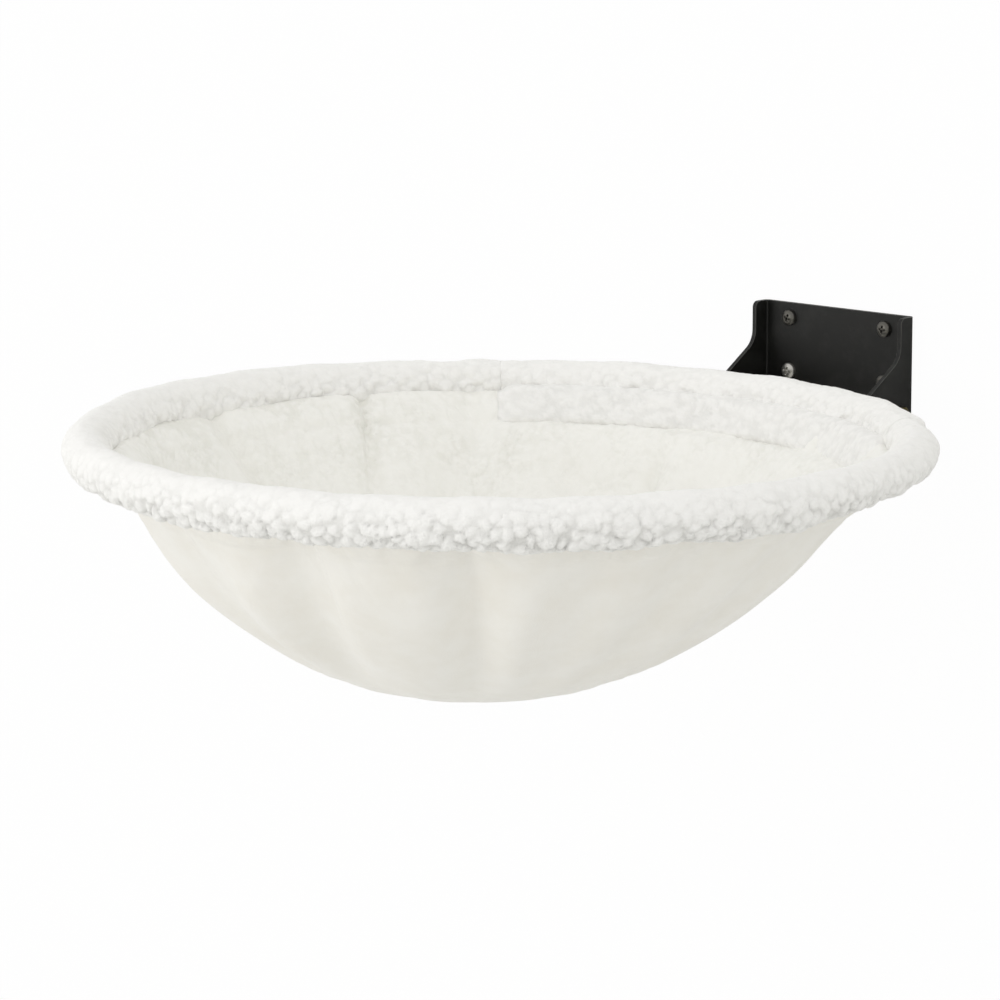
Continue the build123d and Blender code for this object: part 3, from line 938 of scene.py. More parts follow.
    def _disc(self) -> tuple[np.ndarray, np.ndarray]:
        """Spreads a square grid over a disc, so that its cells stay nearly square.

        Returns:
            Share of the way from the middle to the edge, and angle, for each grid point.
        """
        line = np.linspace(-1, 1, self.steps + 1)
        a, b = np.meshgrid(line, line, indexing="ij")
        across = np.abs(a) >= np.abs(b)
        reach = np.where(across, a, b)
        with np.errstate(divide="ignore", invalid="ignore"):
            turn = np.where(across, math.pi / 4 * b / a, math.pi / 2 - math.pi / 4 * a / b)
        turn = np.nan_to_num(turn)
        turn = np.where(reach < 0, turn + math.pi, turn)
        share = np.abs(reach)
        return share + self.crowding * np.sin(math.pi * share) * share, turn

    def _waves(self, turn: np.ndarray, flat: np.ndarray, share: np.ndarray) -> np.ndarray:
        """How far the folds push the cloth outwards.

        Args:
            turn: Angle round the bowl.
            flat: Distance from the bowl's axis, in millimetres.
            share: Share of the way from the top level to the lowest point.

        Returns:
            Distances in millimetres.
        """
        degrees = np.degrees(turn) % 360
        starts = np.array(self.creases)
        widths = (np.roll(starts, -1) - starts) % 360
        number = (np.searchsorted(starts, degrees, side="right") - 1) % len(starts)
        along = ((degrees - starts[number]) % 360) / widths[number]
        height = self.wave_share * np.radians(widths)
        crease = height + np.roll(height, 1)
        lift = 0.5 - 0.5 * np.cos(2 * math.pi * along)
        low = np.where(along < 0.5, crease[number], np.roll(crease, -1)[number])
        # A wave's top touches the sphere and its creases lie inside it.
        wave = -flat * (1 - lift) * low
        out = wave * np.interp(share, self.levels, self.wave_levels)
        out += (1 + self.belly_left.at(degrees)) * self.belly.at(share)
        out += folded(self.folds, degrees, flat, share) * (1 - smooth_step(0.58, 0.85, share))
        ripple = np.sin(turn * 41 + 0.7) * np.sin(turn * 17) + 0.6 * np.sin(turn * 29 + 2)
        return out + self.gather_height * ripple * self.gather.at(share)

    def _shape(self) -> tuple[np.ndarray, np.ndarray]:
        """Outer face of the bowl with its folds, before it settles.

        Returns:
            Grid of points in metres, and the share of the way to the edge.
        """
        rho, turn = self._disc()
        below, share = self._way_down(rho)
        flat = self.reach(below, self.radius)
        out = self._waves(turn, flat, share)
        flat = flat + out * np.cos(below)
        lean = np.interp(share, self.levels, self.lean_levels)
        across = flat * np.cos(turn) + self.lean[0] * lean
        along = flat * np.sin(turn) + self.lean[1] * lean
        height = (self.radius - self.depth) - (self.radius + out) * np.sin(below)
        return self.hoop.place(across, along, height), rho

    def _settled(self) -> tuple[np.ndarray, np.ndarray, np.ndarray]:
        """Outer face after the cloth has settled, refined, with its inward normals.

        Returns:
            Points in metres, unit normals into the bowl, and shares of the way to the edge.
        """
        grid, rho = self._shape()
        count = self.steps + 1
        held = smooth_step(0.93, 0.99, rho).ravel()
        how = ClothSettings(frames=14, growth=0.012, bending=1.0, weight=0.3, cap=3.0)
        step = let_settle(grid.reshape(-1, 3), grid_faces(count, count), held, how)
        step = (step - grid.reshape(-1, 3)).reshape(grid.shape)
        # The cloth's common swell is already in the measured shape, so only its wrinkles are kept.
        middle = self.hoop.place(*[np.array(v) for v in (0.0, 0.0, self.radius - self.depth)])
        out = (grid - middle) / np.linalg.norm(grid - middle, axis=2, keepdims=True)
        swell = np.sum(step * out, axis=2)
        ring = np.minimum((rho * self.swell_bands).astype(int), self.swell_bands)
        for number in range(self.swell_bands + 1):
            here = ring == number
            step[here] -= out[here] * swell[here].mean()
        grid, rho = (finer(finer(part, self.refine, 0), self.refine, 1)
                     for part in (grid + step, rho[:, :, None]))
        even = blurred(grid, 5)
        along_a, along_b = np.gradient(even, axis=0), np.gradient(even, axis=1)
        normal = np.cross(along_a, along_b)
        normal /= np.maximum(np.linalg.norm(normal, axis=2, keepdims=True), 1e-12)
        inward = np.sum(normal * (middle - grid), axis=2, keepdims=True)
        return grid, normal * np.sign(inward), np.clip(rho[:, :, 0], 0, 1)

    def _ply(self, name: str, outer: float, inner: np.ndarray,
             surface: tuple[np.ndarray, np.ndarray, np.ndarray],
             pile: np.ndarray | None = None) -> bpy.types.Object:
        """One closed cloth between two depths inside the bowl's outer face.

        Args:
            name: Name of the piece.
            outer: Depth of its outer face, in millimetres.
            inner: Depth of its inner face at each grid point.
            surface: Points, inward normals and shares of the way to the edge.
            pile: Share of the curls' height at each point of its inner face, if it has any.

        Returns:
            The cloth.
        """
        grid, normal, _ = surface
        side = len(grid)
        skins = [grid + normal * outer * MM, grid + normal * inner[:, :, None] * MM]
        points = np.concatenate([skin.reshape(-1, 3) for skin in skins])
        many = side * side
        faces = grid_faces(side, side) + grid_faces(side, side, first=many, flip=True)
        number = np.arange(many).reshape(side, side)
        edge = np.concatenate([number[0, :-1], number[:-1, -1], number[-1, :0:-1],
                               number[:0:-1, 0]]).tolist()
        for here, after in zip(edge, edge[1:] + edge[:1]):
            faces.append((here, here + many, after + many, after))
        made = mesh_object(name, points, faces)
        if pile is not None:
            mark_pile(made, np.zeros(many), pile)
        turn_outward(made)
        return made

    def _pile_change(self, grid: np.ndarray, degrees: np.ndarray, rho: np.ndarray) -> np.ndarray:
        """How much thicker the lining's pile is: plump by the closure, parted in creases.

        Args:
            grid: Outer face of the bowl, in metres.
            degrees: Angle round the bowl at each point.
            rho: Share of the way to the edge at each point.

        Returns:
            Changes in millimetres.
        """
        flat = np.hypot(grid[:, :, 0], grid[:, :, 1] + self.hoop.reach * MM) / MM
        share = self._way_down(rho)[1]
        height = grid[:, :, 2] / MM + self.hoop.drop
        end = self.hoop.closure_half_angle
        near = 1 - smooth_step(end - 3, end + 3, np.abs(degrees - 90))
        near *= 1 + self.plump_left.at(degrees)
        fat = smooth_step(24.0, 27.5, -height) * (1 - smooth_step(32.0, 58.0, -height))
        return self.plump * near * fat - folded(self.partings, degrees, flat, share)

    def build(self, finishes: Finishes, pile: PileTree) -> None:
        """Makes, dresses and settles both cloths."""
        surface = self._settled()
        grid, rho = surface[0], surface[2]
        shell = self._ply("bowl_outer_cloth", 0, np.full_like(rho, self.shell_thickness), surface)
        dress(shell, finishes.shell)
        settle(shell, "smooth_fleece", "bowl_shell")
        start = self.shell_thickness + self.ply_gap
        arc = self.radius * math.radians(90 - self.edge_angle)
        turn = np.degrees(np.arctan2(grid[:, :, 1] / MM + self.hoop.reach,
                                     grid[:, :, 0] / MM)) % 360
        roll = np.clip(1 - (1 - rho) * arc / (self.edge_roll * (1 + self.wide_roll.at(turn))), 0, 1)
        thickness = (self.least_edge
                     + (self.lining_thickness - self.least_edge) * np.sqrt(1 - roll**2))
        thickness = np.maximum(thickness + self._pile_change(grid, turn, rho), self.least_pile)
        # Soft patches, a few centimetres wide, where the nap is brushed down.
        nap = np.sin(grid[:, :, 0] * 61 + 3.1) * np.sin(grid[:, :, 1] * 47 + 2.3)
        lining = self._ply("bowl_fleece_lining", start, start + thickness, surface,
                           0.45 + 0.4 * smooth_step(-0.3, 0.9, nap))
        pile.raise_curls(lining, finishes.lining_pile, Curls(5.2, 0.8, 2.8, 0.2), seed=3)
        settle(lining, "sherpa_fleece", "bowl_lining")


@dataclass
class Rim:
    """Sherpa sleeve round the hoop and its closure on the wall side."""

    hoop: Hoop = field(default_factory=Hoop)
    bowl: Bowl = field(default_factory=Bowl)
    bore: float = 8.3
    thickness: float = 2.8        # of the cloth under its curls
    joint_gap: float = 0.05
    curls: Curls = Curls(7.4, 2.2, 3.2, 0.45)
    seam_angle: float = 215.0     # degrees round the section of the seam with the bowl
    # Below, turn is the angle round the hoop and bend the one round its section, in radians.
    sag: float = 3.4              # how far its underside hangs below a round section
    underside: float = 4.5        # bend where it hangs lowest
    drawn: float = 1.12           # how tight it is drawn at the hoop's right side
    drawn_until: tuple[float, float] = (0.9, 1.6)     # turn over which that ends
    drawn_again: tuple[float, float] = (6.1, 6.5)     # turn over which it begins again
    drawn_left: Spot = Spot(4.15, 0.5, 0.7)           # by turn; how tight it is there
    outside_seam: tuple[float, float] = (3.9, 4.6)    # bend over which the drawing begins
    fuller: float = 2.4           # how much fuller it is on top, at the left of the wall side
    fuller_left: Spot = Spot(3.2, 0.62)               # by turn; where it is fullest
    seam_dip: Spot = Spot(0, 5.0, 0.5)    # by distance; how far it is drawn in at a sewn end
    inside_nap: Spot = Spot(3.4, 0.9)     # by bend; where the nap stands inside of the ring
    around: int = 19              # points round the section before it is refined
    refine: int = 5
    row_length: float = 4.6       # distance between two rings of points before that
    bore_rows: int = 12           # rings of the outer face to each ring of the bore
    front_angle: float = 312.6    # middle of the front, where the curls stand highest
    tongue_path: tuple[tuple[float, float], ...] = (    # from the hoop's axis, above its plane
        (202.4, -2.2), (194.5, -2.2), (190.6, -4.4), (186.8, -9.2), (183.2, -13.7), (180.0, -17.8))
    tongue_half: float = 1.3      # half of its thickness
    tongue_more: float = 0.5      # degrees by which it is longer than the closure, at each end
    tongue_lying: float = 2.6     # how far its two ends lie over
    tongue_curls: Curls = Curls(5.6, 1.2, 2.8, 0.3)
    tongue_pile: float = 0.45     # share of its curls' height that stands
    tapes: tuple[tuple[str, float], ...] = (            # node, and radius of the sphere it lies on
        ("closure_loop_tape", 211.6), ("closure_hook_tape", 210.7))
    tape_thickness: float = 0.8
    tape_heights: tuple[float, float] = (-8.5, -17.5)
    tape_short: float = 2.5       # degrees by which they are shorter than the closure

    def _tube(self, start: float, end: float, fat: float) -> np.ndarray:
        """Coarse tube round the hoop, from one angle to another.

        Args:
            start: Angle of its first end, in degrees from +X.
            end: Angle of its other end.
            fat: Radius of its section, in millimetres.

        Returns:
            Grid of points in metres: along the hoop, then round the section.
        """
        arc = math.radians(end - start) * self.hoop.radius
        count = int(round(arc / self.row_length)) + 1
        turn = np.radians(np.linspace(start, end, count))[:, None]
        bend = full_turn(self.around)
        away = np.minimum(turn - turn[0], turn[-1] - turn) * self.hoop.radius
        soft = 0.35 * np.sin(turn * 13 + 1) * np.cos(bend - 1) + 0.3 * np.sin(turn * 29 + bend)
        # The sleeve hangs down on its underside. At the hoop's sides it is drawn tight outside of
        # the seam, and it is fuller on top at the left of the wall side.
        drawn = 1 - smooth_step(*self.drawn_until, turn) + smooth_step(*self.drawn_again, turn)
        drawn = drawn * self.drawn + self.drawn_left.at(turn)
        drawn = drawn * smooth_step(*self.outside_seam, bend)
        hung = self.sag * (1 - drawn) * np.exp(1.6 * (np.cos(bend - self.underside) - 1))
        full = np.exp(2.2 * (np.sin(bend) - 1)) * self.fuller_left.at(turn)
        size = fat + soft + hung + self.fuller * full - self.seam_dip.at(away)
        return self.hoop.ring(self.hoop.radius + size * np.cos(bend), turn, size * np.sin(bend))

    def _settled(self, start: float, end: float) -> np.ndarray:
        """Tube after its cloth has filled out, refined."""
        fat = self.bore + self.thickness
        grid = self._tube(start, end, fat - 0.4)
        rows, columns = grid.shape[:2]
        # The inner underside is sewn to the bowl, so it can't move there.
        sewn = Spot(math.radians(self.seam_angle), 0.35).at(full_turn(columns))
        held = np.clip(np.tile(sewn, rows), 0, 1)
        held[:columns] = held[-columns:] = 1
        how = ClothSettings(frames=12, pressure=1.5, growth=0.01, weight=0.0, cap=1.2)
        faces = grid_faces(rows, columns, wrap=True)
        moved = let_settle(grid.reshape(-1, 3), faces, held, how).reshape(rows, columns, 3)
        return finer(finer(moved, self.refine, 0), self.refine, 1, wrap=True)

    def _sleeve(self, name: str, start: float, end: float) -> bpy.types.Object:
        """Closed tube of cloth with a bore for the hoop.

        Args:
            name: Name of the piece.
            start: Angle of its first end, in degrees from +X.
            end: Angle of its other end.

        Returns:
            The tube, its outer face marked for curls.
        """
        outer = self._settled(start, end)
        rows, columns = outer.shape[:2]
        turn = np.radians(np.linspace(start, end, rows))[:, None]
        bend = full_turn(columns)
        inner = self.hoop.ring(self.hoop.radius + self.bore * np.cos(bend), turn,
                               self.bore * np.sin(bend))
        keep = [*range(0, rows - 1, self.bore_rows), rows - 1]
        inner = inner[keep]
        points = np.concatenate([outer.reshape(-1, 3), inner.reshape(-1, 3)])
        many = rows * columns
        faces = grid_faces(rows, columns, wrap=True)
        faces += grid_faces(len(keep), columns, wrap=True, first=many, flip=True)
        last_outer, last_inner = many - columns, len(points) - columns
        for j in range(columns):
            k = (j + 1) % columns
            faces.append((j, k, many + k, many + j))
            faces.append((last_outer + j, last_inner + j, last_inner + k, last_outer + k))
        made = mesh_object(name, points, faces)
        # The nap is brushed flatter on top, and stands highest low on the outside of the front,
        # where the painted shade between the curls is also strongest.
        outside = (0.5 + 0.5 * np.cos(bend + 1.1)) ** 2.2
        front = np.cos(turn - math.radians(self.front_angle))
        along = smooth_step(0.1, 0.75, front)
        inside = (1 - along) * self.inside_nap.at(bend)
        stand = 0.16 + outside * (0.25 + 0.68 * along) + 0.34 * inside
        mark_pile(made, stand, np.zeros(len(inner) * columns))
        turn_outward(made)
        return made

    def _tongue(self) -> bpy.types.Object:
        """Tongue of the closure, from the rim over the seam and down along the lining."""
        path = finer(np.array(self.tongue_path)[:, None, :], 4, 0)[:, 0]
        lead = np.gradient(path, axis=0)
        lead /= np.linalg.norm(lead, axis=1, keepdims=True)
        aside = np.stack([-lead[:, 1], lead[:, 0]], 1)
        left = np.linalg.norm(path - path[-1], axis=1)
        half = self.tongue_half - 0.5 * np.exp(-left / 6)
        half_width = (half * np.sqrt(1 - np.clip(1 - left / 2.2, 0, 0.98) ** 2))[:, None]
        # Thin as its lower edge is, it lies down on the tape under it.
        path = path + aside * (self.tongue_half - half + 1.2 * np.exp(-left / 1.2))[:, None]
        loop = np.concatenate([path + aside * half_width, (path - aside * half_width)[::-1]])
        end = math.radians(self.hoop.closure_half_angle + self.tongue_more)
        turn = (math.pi / 2 + np.linspace(-end, end, 190))[:, None]
        middle = (loop + loop[::-1]) / 2
        from_end = (end - np.abs(turn - math.pi / 2)) * self.hoop.radius
        full = np.sqrt(1 - np.clip(1 - from_end / 2.5, 0, 0.98) ** 2)
        full = full * (0.35 + 0.65 * smooth_step(0.0, 14.0, from_end))
        # Its two ends thin out and lie over to one side.
        lying = self.tongue_lying * (1 - smooth_step(1.0, 8.5, from_end))
        lean = np.concatenate([aside, aside[::-1]])
        radius = middle[:, 0] + (loop - middle)[:, 0] * full + lean[:, 0] * lying
        height = middle[:, 1] + (loop - middle)[:, 1] * full + lean[:, 1] * lying
        grid = self.hoop.ring(radius, turn, height)
        rows, columns = grid.shape[:2]
        faces = grid_faces(rows, columns, wrap=True)
        for first in (0, (rows - 1) * columns):
            last = first + columns - 1
            faces += [(first + j, first + j + 1, last - 1 - j, last - j)
                      for j in range(columns // 2 - 1)]
        made = mesh_object("closure_tongue", grid.reshape(-1, 3), faces)
        mark_pile(made, np.full(rows * columns, self.tongue_pile))
        turn_outward(made)
        return made

    def build(self, finishes: Finishes, pile: PileTree) -> None:
        """Makes, dresses and settles the sleeve, the closure and its tapes."""
        gap = math.degrees(self.joint_gap / self.hoop.radius)
        first, last = 90 - self.hoop.closure_half_angle, 90 + self.hoop.closure_half_angle
        sleeve = self._sleeve("rim_fleece_sleeve", last + gap, first + 360 - gap)
        pile.raise_curls(sleeve, finishes.rim_pile, self.curls, seed=1)
        settle(sleeve, "sherpa_fleece", "rim_sleeve")
        closure = self._sleeve("rim_fleece_closure", first, last)
        tongue = self._tongue()
        pile.raise_curls(closure, finishes.rim_pile, self.curls, seed=2)
        pile.raise_curls(tongue, finishes.rim_pile, self.tongue_curls, seed=4)
        joined = join("rim_fleece_closure", [closure, tongue])
        settle(joined, "sherpa_fleece", "rim_closure")
        self._tapes(finishes)

    def _tapes(self, finishes: Finishes) -> None:
        """Dresses the two hook-and-loop tapes between the tongue and the lining."""
        half = math.radians(self.hoop.closure_half_angle - self.tape_short)
        turn = (math.pi / 2 + np.linspace(-half, half, 120))[:, None]
        heights = np.linspace(*self.tape_heights, 7)
        for node, radius in self.tapes:
            outside, inside = (
                self.bowl.reach(np.arcsin((self.bowl.radius - self.bowl.depth - heights) / face),
                                face) for face in (radius, radius - self.tape_thickness))
            grid = self.hoop.ring(np.concatenate([outside, inside[::-1]]), turn,
                                  np.concatenate([heights, heights[::-1]]))
            tape = mesh_object(f"{node}_woven", grid.reshape(-1, 3), tube_faces(*grid.shape[:2]))
            turn_outward(tape)
            dress(tape, finishes.tape)
            settle(tape, "hook_and_loop", node)


def join(name: str, pieces: Sequence[bpy.types.Object]) -> bpy.types.Object:
    """Joins several plain meshes into the first of them.

    Args:
        name: Name of the result.
        pieces: Objects to join.

    Returns:
        The joined object.
    """
    work = bmesh.new()
    for piece in pieces:
        first = len(pieces[0].data.materials) if piece is not pieces[0] else 0
        for face in piece.data.polygons:
            face.material_index += first
        work.from_mesh(piece.data)
        if first:
            for material in piece.data.materials:
                pieces[0].data.materials.append(material)
    work.to_mesh(pieces[0].data)
    work.free()
    for piece in pieces[1:]:
        bpy.data.objects.remove(piece)
    pieces[0].name = name
    return pieces[0]


# ---------------------------------------------------------------- steel parts

@dataclass
class Bracket:
    """Bent bracket and the arm plates, with a painted highlight, a pale metal colour, along their
    rounded edges.
    """

    edge_round: float = 0.35
    edge_angle: float = 35.0      # least angle, in degrees, of an edge that is rounded
    smooth_angle: float = 30.0    # greatest angle across which it is shaded smooth
    flat_angle: float = 0.5       # greatest angle between triangles of one flat face

    def build(self, finishes: Finishes, frame: dict[str, Any]) -> None:
        """Rounds and dresses each steel sheet, and coats the hoop's tubes."""
        for node, slot in (("wall_bracket", "black_powder_coat"), ("arm_plate_right", "hoop_steel"),
                           ("arm_plate_left", "hoop_steel")):
            piece = self._rounded(node, frame["nodes"][node])
            dress(piece, finishes.coat, finishes.edge_highlight_paint)
            modifier = piece.modifiers.new("edges", "BEVEL")
            modifier.width = self.edge_round * MM
            modifier.segments = 2
            modifier.limit_method = "ANGLE"
            modifier.angle_limit = math.radians(self.edge_angle)
            # The rounded edges take the second material, the pale painted highlight.
            modifier.material = 1
            modifier.harden_normals = True
            as_mesh(piece)
            settle(piece, slot, node)
        for node in ("hoop_rear_tube", "hoop_front_tube"):
            dress(frame["nodes"][node], finishes.hoop_coat)

    def _rounded(self, node: str, source: bpy.types.Object) -> bpy.types.Object:
        """Copy of a CAD node with its loose triangles merged into whole faces.

        Args:
            node: Name of the CAD node.
            source: Its object.

        Returns:
            The copy.
        """
        work = bmesh.new()
        work.from_mesh(source.data)
        work.transform(source.matrix_world)
        bmesh.ops.remove_doubles(work, verts=work.verts, dist=1e-6)
        bmesh.ops.dissolve_limit(work, angle_limit=math.radians(self.flat_angle),
                                 verts=work.verts, edges=work.edges)
        mesh = bpy.data.meshes.new(f"{node}_coated")
        work.to_mesh(mesh)
        work.free()
        for polygon in mesh.polygons:
            polygon.use_smooth = True
        mesh.set_sharp_from_angle(angle=math.radians(self.smooth_angle))
        made = bpy.data.objects.new(f"{node}_coated", mesh)
        bpy.context.scene.collection.objects.link(made)
        return made


@dataclass
class Fasteners:
    """Wall screws, and the bolts and nuts of the arm plates."""

    screw_length: float = 40.0
    screw_radius: float = 2.25
    screw_core: float = 1.6
    screw_pitch: float = 1.9
    tip_length: float = 6.0
    neck_radius: float = 2.5
    head_radius: float = 4.4
    head_height: float = 3.0
    sheet: float = 2.5
    bolt_radius: float = 3.0
    bolt_length: float = 16.0
    across_flats: float = 10.0
    bolt_head: float = 4.0
    nut_height: float = 6.0
    bracket_half: float = 52.5
    arm: float = 3.0
    bolt_places: tuple[tuple[float, float], ...] = ((14.0, 15.0), (45.55, 18.0))
    bolt_pitch: float = 1.0
    bolt_groove: float = 0.6
    screw_columns: tuple[float, ...] = (-33.5, 33.5)
    screw_rows: tuple[float, ...] = (-30, 0, 30)
    # One screw takes a paler copy of the screw metal: painted reflection.
    painted_reflection_spot: tuple[float, float] = (-33.5, 0)
    recess_length: float = 2.3    # of each wing of the cross, from the screw's axis
    smooth_angle: float = 40.0    # greatest angle across which they are shaded smooth

    def _solid(self, size: np.ndarray, height: np.ndarray) -> tuple[np.ndarray, list]:
        """Closed solid about Z.

        Args:
            size: Radius of each point of each of its rings.
            height: Heights of the same points.

        Returns:
            Points in millimetres and faces.
        """
        bend = full_turn(size.shape[1])
        grid = np.stack([size * np.cos(bend), size * np.sin(bend), height + 0 * bend], -1)
        return grid.reshape(-1, 3), tube_faces(*grid.shape[:2])

    def _thread(self, radius: float, core: float, pitch: float, start: float, end: float,
                taper: float) -> tuple[np.ndarray, list]:
        """Threaded shank along -Z, its ridge a helix.

        Args:
            radius: Outside of the thread.
            core: Radius between its ridges.
            pitch: Distance between two ridges.
            start: Height of its upper end.
            end: Height of its tip.
            taper: Length over which it narrows to the tip.

        Returns:
            Points in millimetres and faces.
        """
        rows = int((start - end) / pitch * 8) + 1
        height = np.linspace(start, end, rows)[:, None]
        phase = (height / pitch + full_turn(20) / (2 * math.pi)) % 1
        ridge = np.clip(1 - np.abs(phase - 0.5) / 0.28, 0, 1)
        size = core + (radius - core) * ridge
        if taper:
            size = size * np.clip((height - end) / taper + 0.06, 0, 1) ** 0.8
        return self._solid(size, height)

    def _wing(self, along: np.ndarray, aside: np.ndarray) -> np.ndarray:
        """Depth of two opposite wings of a cross recess, which narrow and rise outwards."""
        reach = np.clip(1 - np.abs(along) / self.recess_length, 0, 1)
        inside = 1 - smooth_step(0.42, 0.62, np.abs(aside) - 0.12 * reach)
        return inside * np.clip(reach * 4, 0, 1) * (0.9 + 0.9 * reach)

    def _pan_head(self) -> tuple[np.ndarray, list]:
        """Pan head with a cross recess, its seat at height 0."""
        bend = full_turn(64)
        share = np.linspace(0, 1, 25)[:, None]
        dome = self.head_height * (0.45 + 0.55 * np.sqrt(np.clip(1 - share**2.6, 0, 1)))
        x, y = (self.head_radius * share * part for part in (np.cos(bend), np.sin(bend)))
        height = dome - np.maximum(self._wing(x, y), self._wing(y, x))
        size = self.head_radius * np.append(share, [[1.0]], axis=0) + 0 * bend
        return self._solid(size, np.append(height, 0 * bend[None, :], axis=0))

    def _shape(self, name: str, parts: Sequence[tuple[np.ndarray, list]]) -> bpy.types.Object:
        """Joins closed parts, given in millimetres, into one piece along Z."""
        points, faces, first = [], [], 0
        for part_points, part_faces in parts:
            points.append(part_points * MM)
            faces += [tuple(first + corner for corner in face) for face in part_faces]
            first += len(part_points)
        made = mesh_object(name, np.concatenate(points), faces)
        with editing(made.data) as work:
            bmesh.ops.remove_doubles(work, verts=work.verts, dist=1e-7)
            bmesh.ops.recalc_face_normals(work, faces=work.faces)
        made.data.set_sharp_from_angle(angle=math.radians(self.smooth_angle))
        return made

    def _wall_screw(self) -> bpy.types.Object:
        """Pan-head wood screw along Z, its head's seat at the origin."""
        neck = self._solid(np.full((2, 32), self.neck_radius), np.array([[0.0], [-self.sheet]]))
        thread = self._thread(self.screw_radius, self.screw_core, self.screw_pitch,
                              -self.sheet, -self.screw_length, self.tip_length)
        return self._shape("wall_screw", [self._pan_head(), neck, thread])

    def _hexagon(self, low: float, high: float, chamfer: bool) -> tuple[np.ndarray, list]:
        """Hexagon prism whose upper and lower corners are turned off."""
        bend = full_turn(48)
        wedge = (bend + math.pi / 6) % (math.pi / 3) - math.pi / 6
        flat = self.across_flats / 2 / np.cos(wedge)
        face = np.full_like(bend, self.across_flats / 2 * 0.98)
        drop = (flat - face) * 0.5
        lower = drop if chamfer else np.full_like(bend, 0.05)
        heights = np.stack([0 * bend + low, low + lower, high - drop, 0 * bend + high])
        return self._solid(np.stack([face, flat, flat, face]), heights)

    def build(self, finishes: Finishes, copy: CopyTree) -> None:
        """Makes every fastener and sets its copies."""
        places = [(x, z) for x in self.screw_columns for z in self.screw_rows]
        dark = [place for place in places if place != self.painted_reflection_spot]
        # How far each screw that shows in the photo is turned.
        twist = {(-33.5, 30): 0.35, (33.5, 30): 0.1, (-33.5, 0): 0.15}
        # One screw gets the paler copy of the metal, as painted reflection.
        groups = (("wall_screws_dark", dark, finishes.black_screw),
                  ("wall_screw_bright", [self.painted_reflection_spot], finishes.paler_screw_reflection))
        made = []
        for name, spots, material in groups:
            points = [(x, -self.sheet, z) for x, z in spots]
            turns = [(math.pi / 2, twist.get(spot, 0.7), 0) for spot in spots]
            made.append(copy.copies(name, self._wall_screw(), material, points, turns))
        joined = join("wall_screws_threaded", made)
        settle(joined, "zinc_black_screw", "wall_screws")
        self._bolts(finishes, copy)

    def _bolts(self, finishes: Finishes, copy: CopyTree) -> None:
        """Sets the bolts and nuts through the wings and arm plates."""
        head = self._hexagon(0.0, self.bolt_head, False)
        shank = self._thread(self.bolt_radius, self.bolt_radius - self.bolt_groove,
                             self.bolt_pitch, 0.0, -self.bolt_length, 0.0)
        bolt = self._shape("arm_bolt", [head, shank])
        nut = self._shape("arm_nut", [self._hexagon(-self.nut_height, 0.0, True)])
        for name, piece, inward, node in (("arm_bolts_hex", bolt, 0.0, "arm_bolts"),
                                          ("arm_nuts_hex", nut, self.sheet + self.arm, "arm_nuts")):
            places = [(side, *place) for side in (1, -1) for place in self.bolt_places]
            points = [(side * (self.bracket_half - inward), -reach, -drop)
                      for side, reach, drop in places]
            turns = [(0.0, side * math.pi / 2, 0.0) for side, *_ in places]
            made = copy.copies(name, piece, finishes.bolt, points, turns)
            settle(made, "zinc_olive_bolt", node)


# ---------------------------------------------------------------- studio

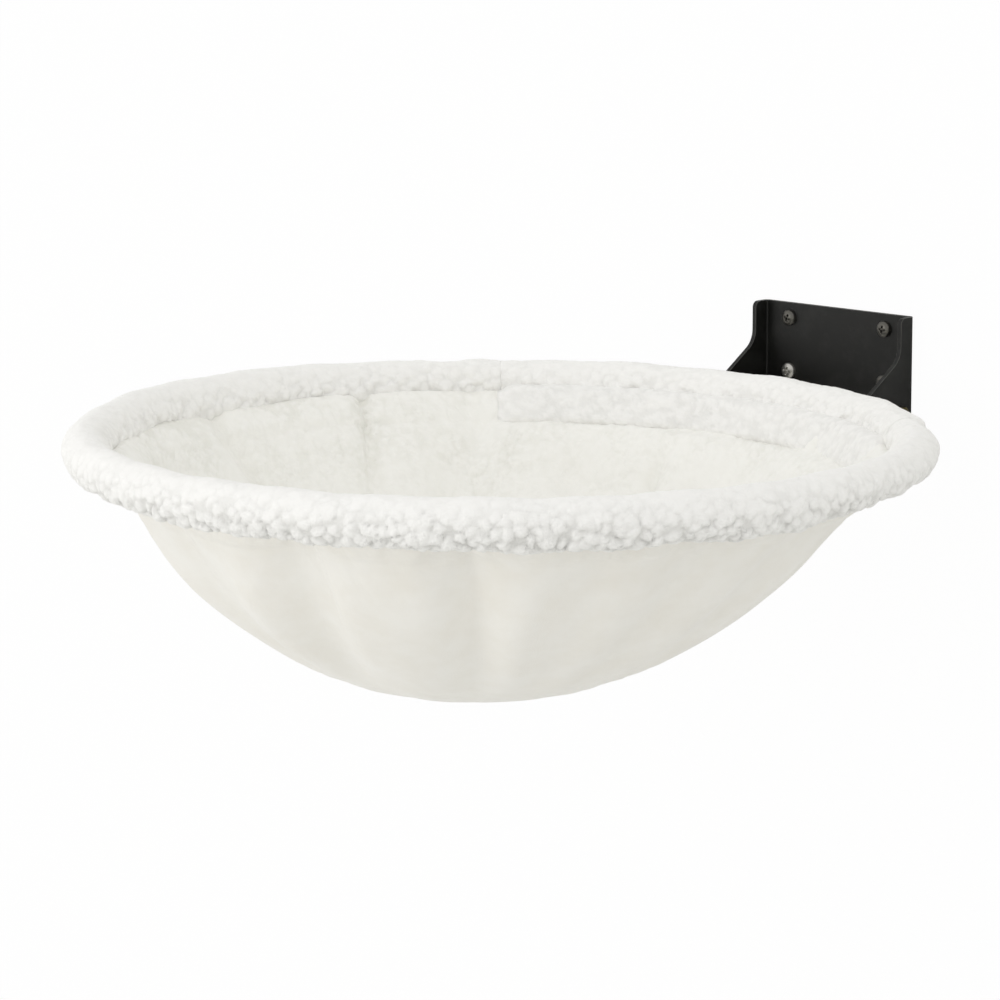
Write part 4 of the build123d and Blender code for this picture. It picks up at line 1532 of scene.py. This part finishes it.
@dataclass
class Studio:
    """White wall and floor, soft lamps and the camera."""

    azimuth: float = 42.6
    elevation: float = 9.72
    distance: float = 2.291
    lens: float = 161.0
    shift: tuple[float, float] = (-0.0008, -0.0565)
    aim: tuple[float, float, float] = (0.0, -0.2785, -0.003)
    floor_height: float = -0.62
    floor_half: float = 9.0
    wall_half: float = 3.0
    wall_top: float = 2.0
    wall_gap: float = 0.0004      # from the bracket's back face
    surround: tuple[float, float] = (1.12, 0.96)      # light at the horizon and from above
    key_place: tuple[float, float, float] = (-1.1, -2.4, 0.05)
    key_size: float = 0.8
    key_power: float = 6.5

    def build(self) -> None:
        """Sets up everything that isn't the object."""
        self._camera()
        self._backdrop()
        self._surround()
        data = bpy.data.lights.new("key", "AREA")
        data.shape, data.size, data.energy = "DISK", self.key_size, self.key_power
        place = Vector(self.key_place)
        self._placed(data, place, Vector(self.aim) - place)
        bpy.context.scene.view_settings.view_transform = "Standard"

    def _placed(self, data: bpy.types.ID, place: Vector, direction: Vector) -> bpy.types.Object:
        """Adds a camera or a lamp that looks in a direction."""
        made = bpy.data.objects.new(data.name, data)
        made.location = place
        made.rotation_mode = "QUATERNION"
        made.rotation_quaternion = direction.to_track_quat("-Z", "Y")
        bpy.context.scene.collection.objects.link(made)
        return made

    def _camera(self) -> None:
        """Camera at the photograph's angle."""
        data = bpy.data.cameras.new("camera")
        data.lens, data.sensor_width = self.lens, 36.0
        data.shift_x, data.shift_y = self.shift
        a, e = math.radians(self.azimuth), math.radians(self.elevation)
        back = Vector((math.sin(a) * math.cos(e), -math.cos(a) * math.cos(e), math.sin(e)))
        place = Vector(self.aim) + back * self.distance
        bpy.context.scene.camera = self._placed(data, place, -back)

    def _white(self, name: str, see_through_back: bool) -> bpy.types.Material:
        """White that a camera sees as white and other light as pale paint.

        Args:
            name: Name of the material.
            see_through_back: Whether its back side lets everything through.

        Returns:
            The material.
        """
        material = bpy.data.materials.new(name)
        material.use_nodes = True
        tree = material.node_tree
        tree.nodes.clear()
        paint = add_node(tree, "ShaderNodeBsdfDiffuse", {"Color": linear("#e8e8e6")})
        glow = add_node(tree, "ShaderNodeEmission", {"Color": (1, 1, 1, 1), "Strength": 1.0})
        ray = add_node(tree, "ShaderNodeLightPath")
        share = add_math(tree, "MULTIPLY", ray.outputs["Is Camera Ray"],
                         0.97 if see_through_back else 0.85)
        mixed = add_node(tree, "ShaderNodeMixShader",
                         {0: share, 1: paint.outputs[0], 2: glow.outputs[0]})
        out = mixed.outputs[0]
        if see_through_back:
            side = add_node(tree, "ShaderNodeNewGeometry")
            clear = add_node(tree, "ShaderNodeBsdfTransparent")
            out = add_node(tree, "ShaderNodeMixShader",
                           {0: side.outputs["Backfacing"], 1: out, 2: clear.outputs[0]}).outputs[0]
        add_node(tree, "ShaderNodeOutputMaterial", {"Surface": out})
        return material

    def _flat(self, name: str, corners: Sequence[Sequence[float]],
              white: bpy.types.Material) -> bpy.types.Object:
        """Adds a flat surface with four corners."""
        made = mesh_object(name, np.array(corners), [(0, 1, 2, 3)], smooth=False)
        dress(made, white)
        return made

    def _backdrop(self) -> None:
        """Floor under the hammock, and the wall that it hangs on."""
        low, far, side, top = self.floor_height, self.floor_half, self.wall_half, self.wall_top
        floor = self._flat("floor", [(x, y, low) for x, y in ((-far, -far), (far, -far),
                                                              (far, far), (-far, far))],
                           self._white("pale_floor", False))
        wall = self._flat("wall", [(x, self.wall_gap, z) for x, z in ((-side, low), (side, low),
                                                                      (side, top), (-side, top))],
                          self._white("white_wall", True))

    def _surround(self) -> None:
        """Even light from all round, which a camera sees as white."""
        world = bpy.data.worlds.new("surround")
        world.use_nodes = True
        bpy.context.scene.world = world
        tree = world.node_tree
        tree.nodes.clear()
        ray = add_node(tree, "ShaderNodeLightPath")
        place = add_node(tree, "ShaderNodeTexCoord")
        height = add_node(tree, "ShaderNodeSeparateXYZ", {0: place.outputs["Generated"]})
        fade = add_node(tree, "ShaderNodeMapRange",
                        {"Value": height.outputs["Z"], "To Min": self.surround[0],
                         "To Max": self.surround[1]})
        even = add_node(tree, "ShaderNodeBackground",
                        {"Color": (1, 1, 1, 1), "Strength": fade.outputs["Result"]})
        white = add_node(tree, "ShaderNodeBackground", {"Color": (1, 1, 1, 1), "Strength": 1.0})
        mixed = add_node(tree, "ShaderNodeMixShader",
                         {0: ray.outputs["Is Camera Ray"], 1: even.outputs[0], 2: white.outputs[0]})
        add_node(tree, "ShaderNodeOutputWorld", {"Surface": mixed.outputs[0]})


def main() -> None:
    """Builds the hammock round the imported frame."""
    logging.basicConfig(level=logging.INFO, format="%(name)s: %(message)s")
    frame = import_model()
    finishes = Finishes()
    pile, copy = PileTree(), CopyTree()
    Studio().build()
    Rim().build(finishes, pile)
    Bowl().build(finishes, pile)
    Bracket().build(finishes, frame)
    Fasteners().build(finishes, copy)


if __name__ == "__main__":
    main()
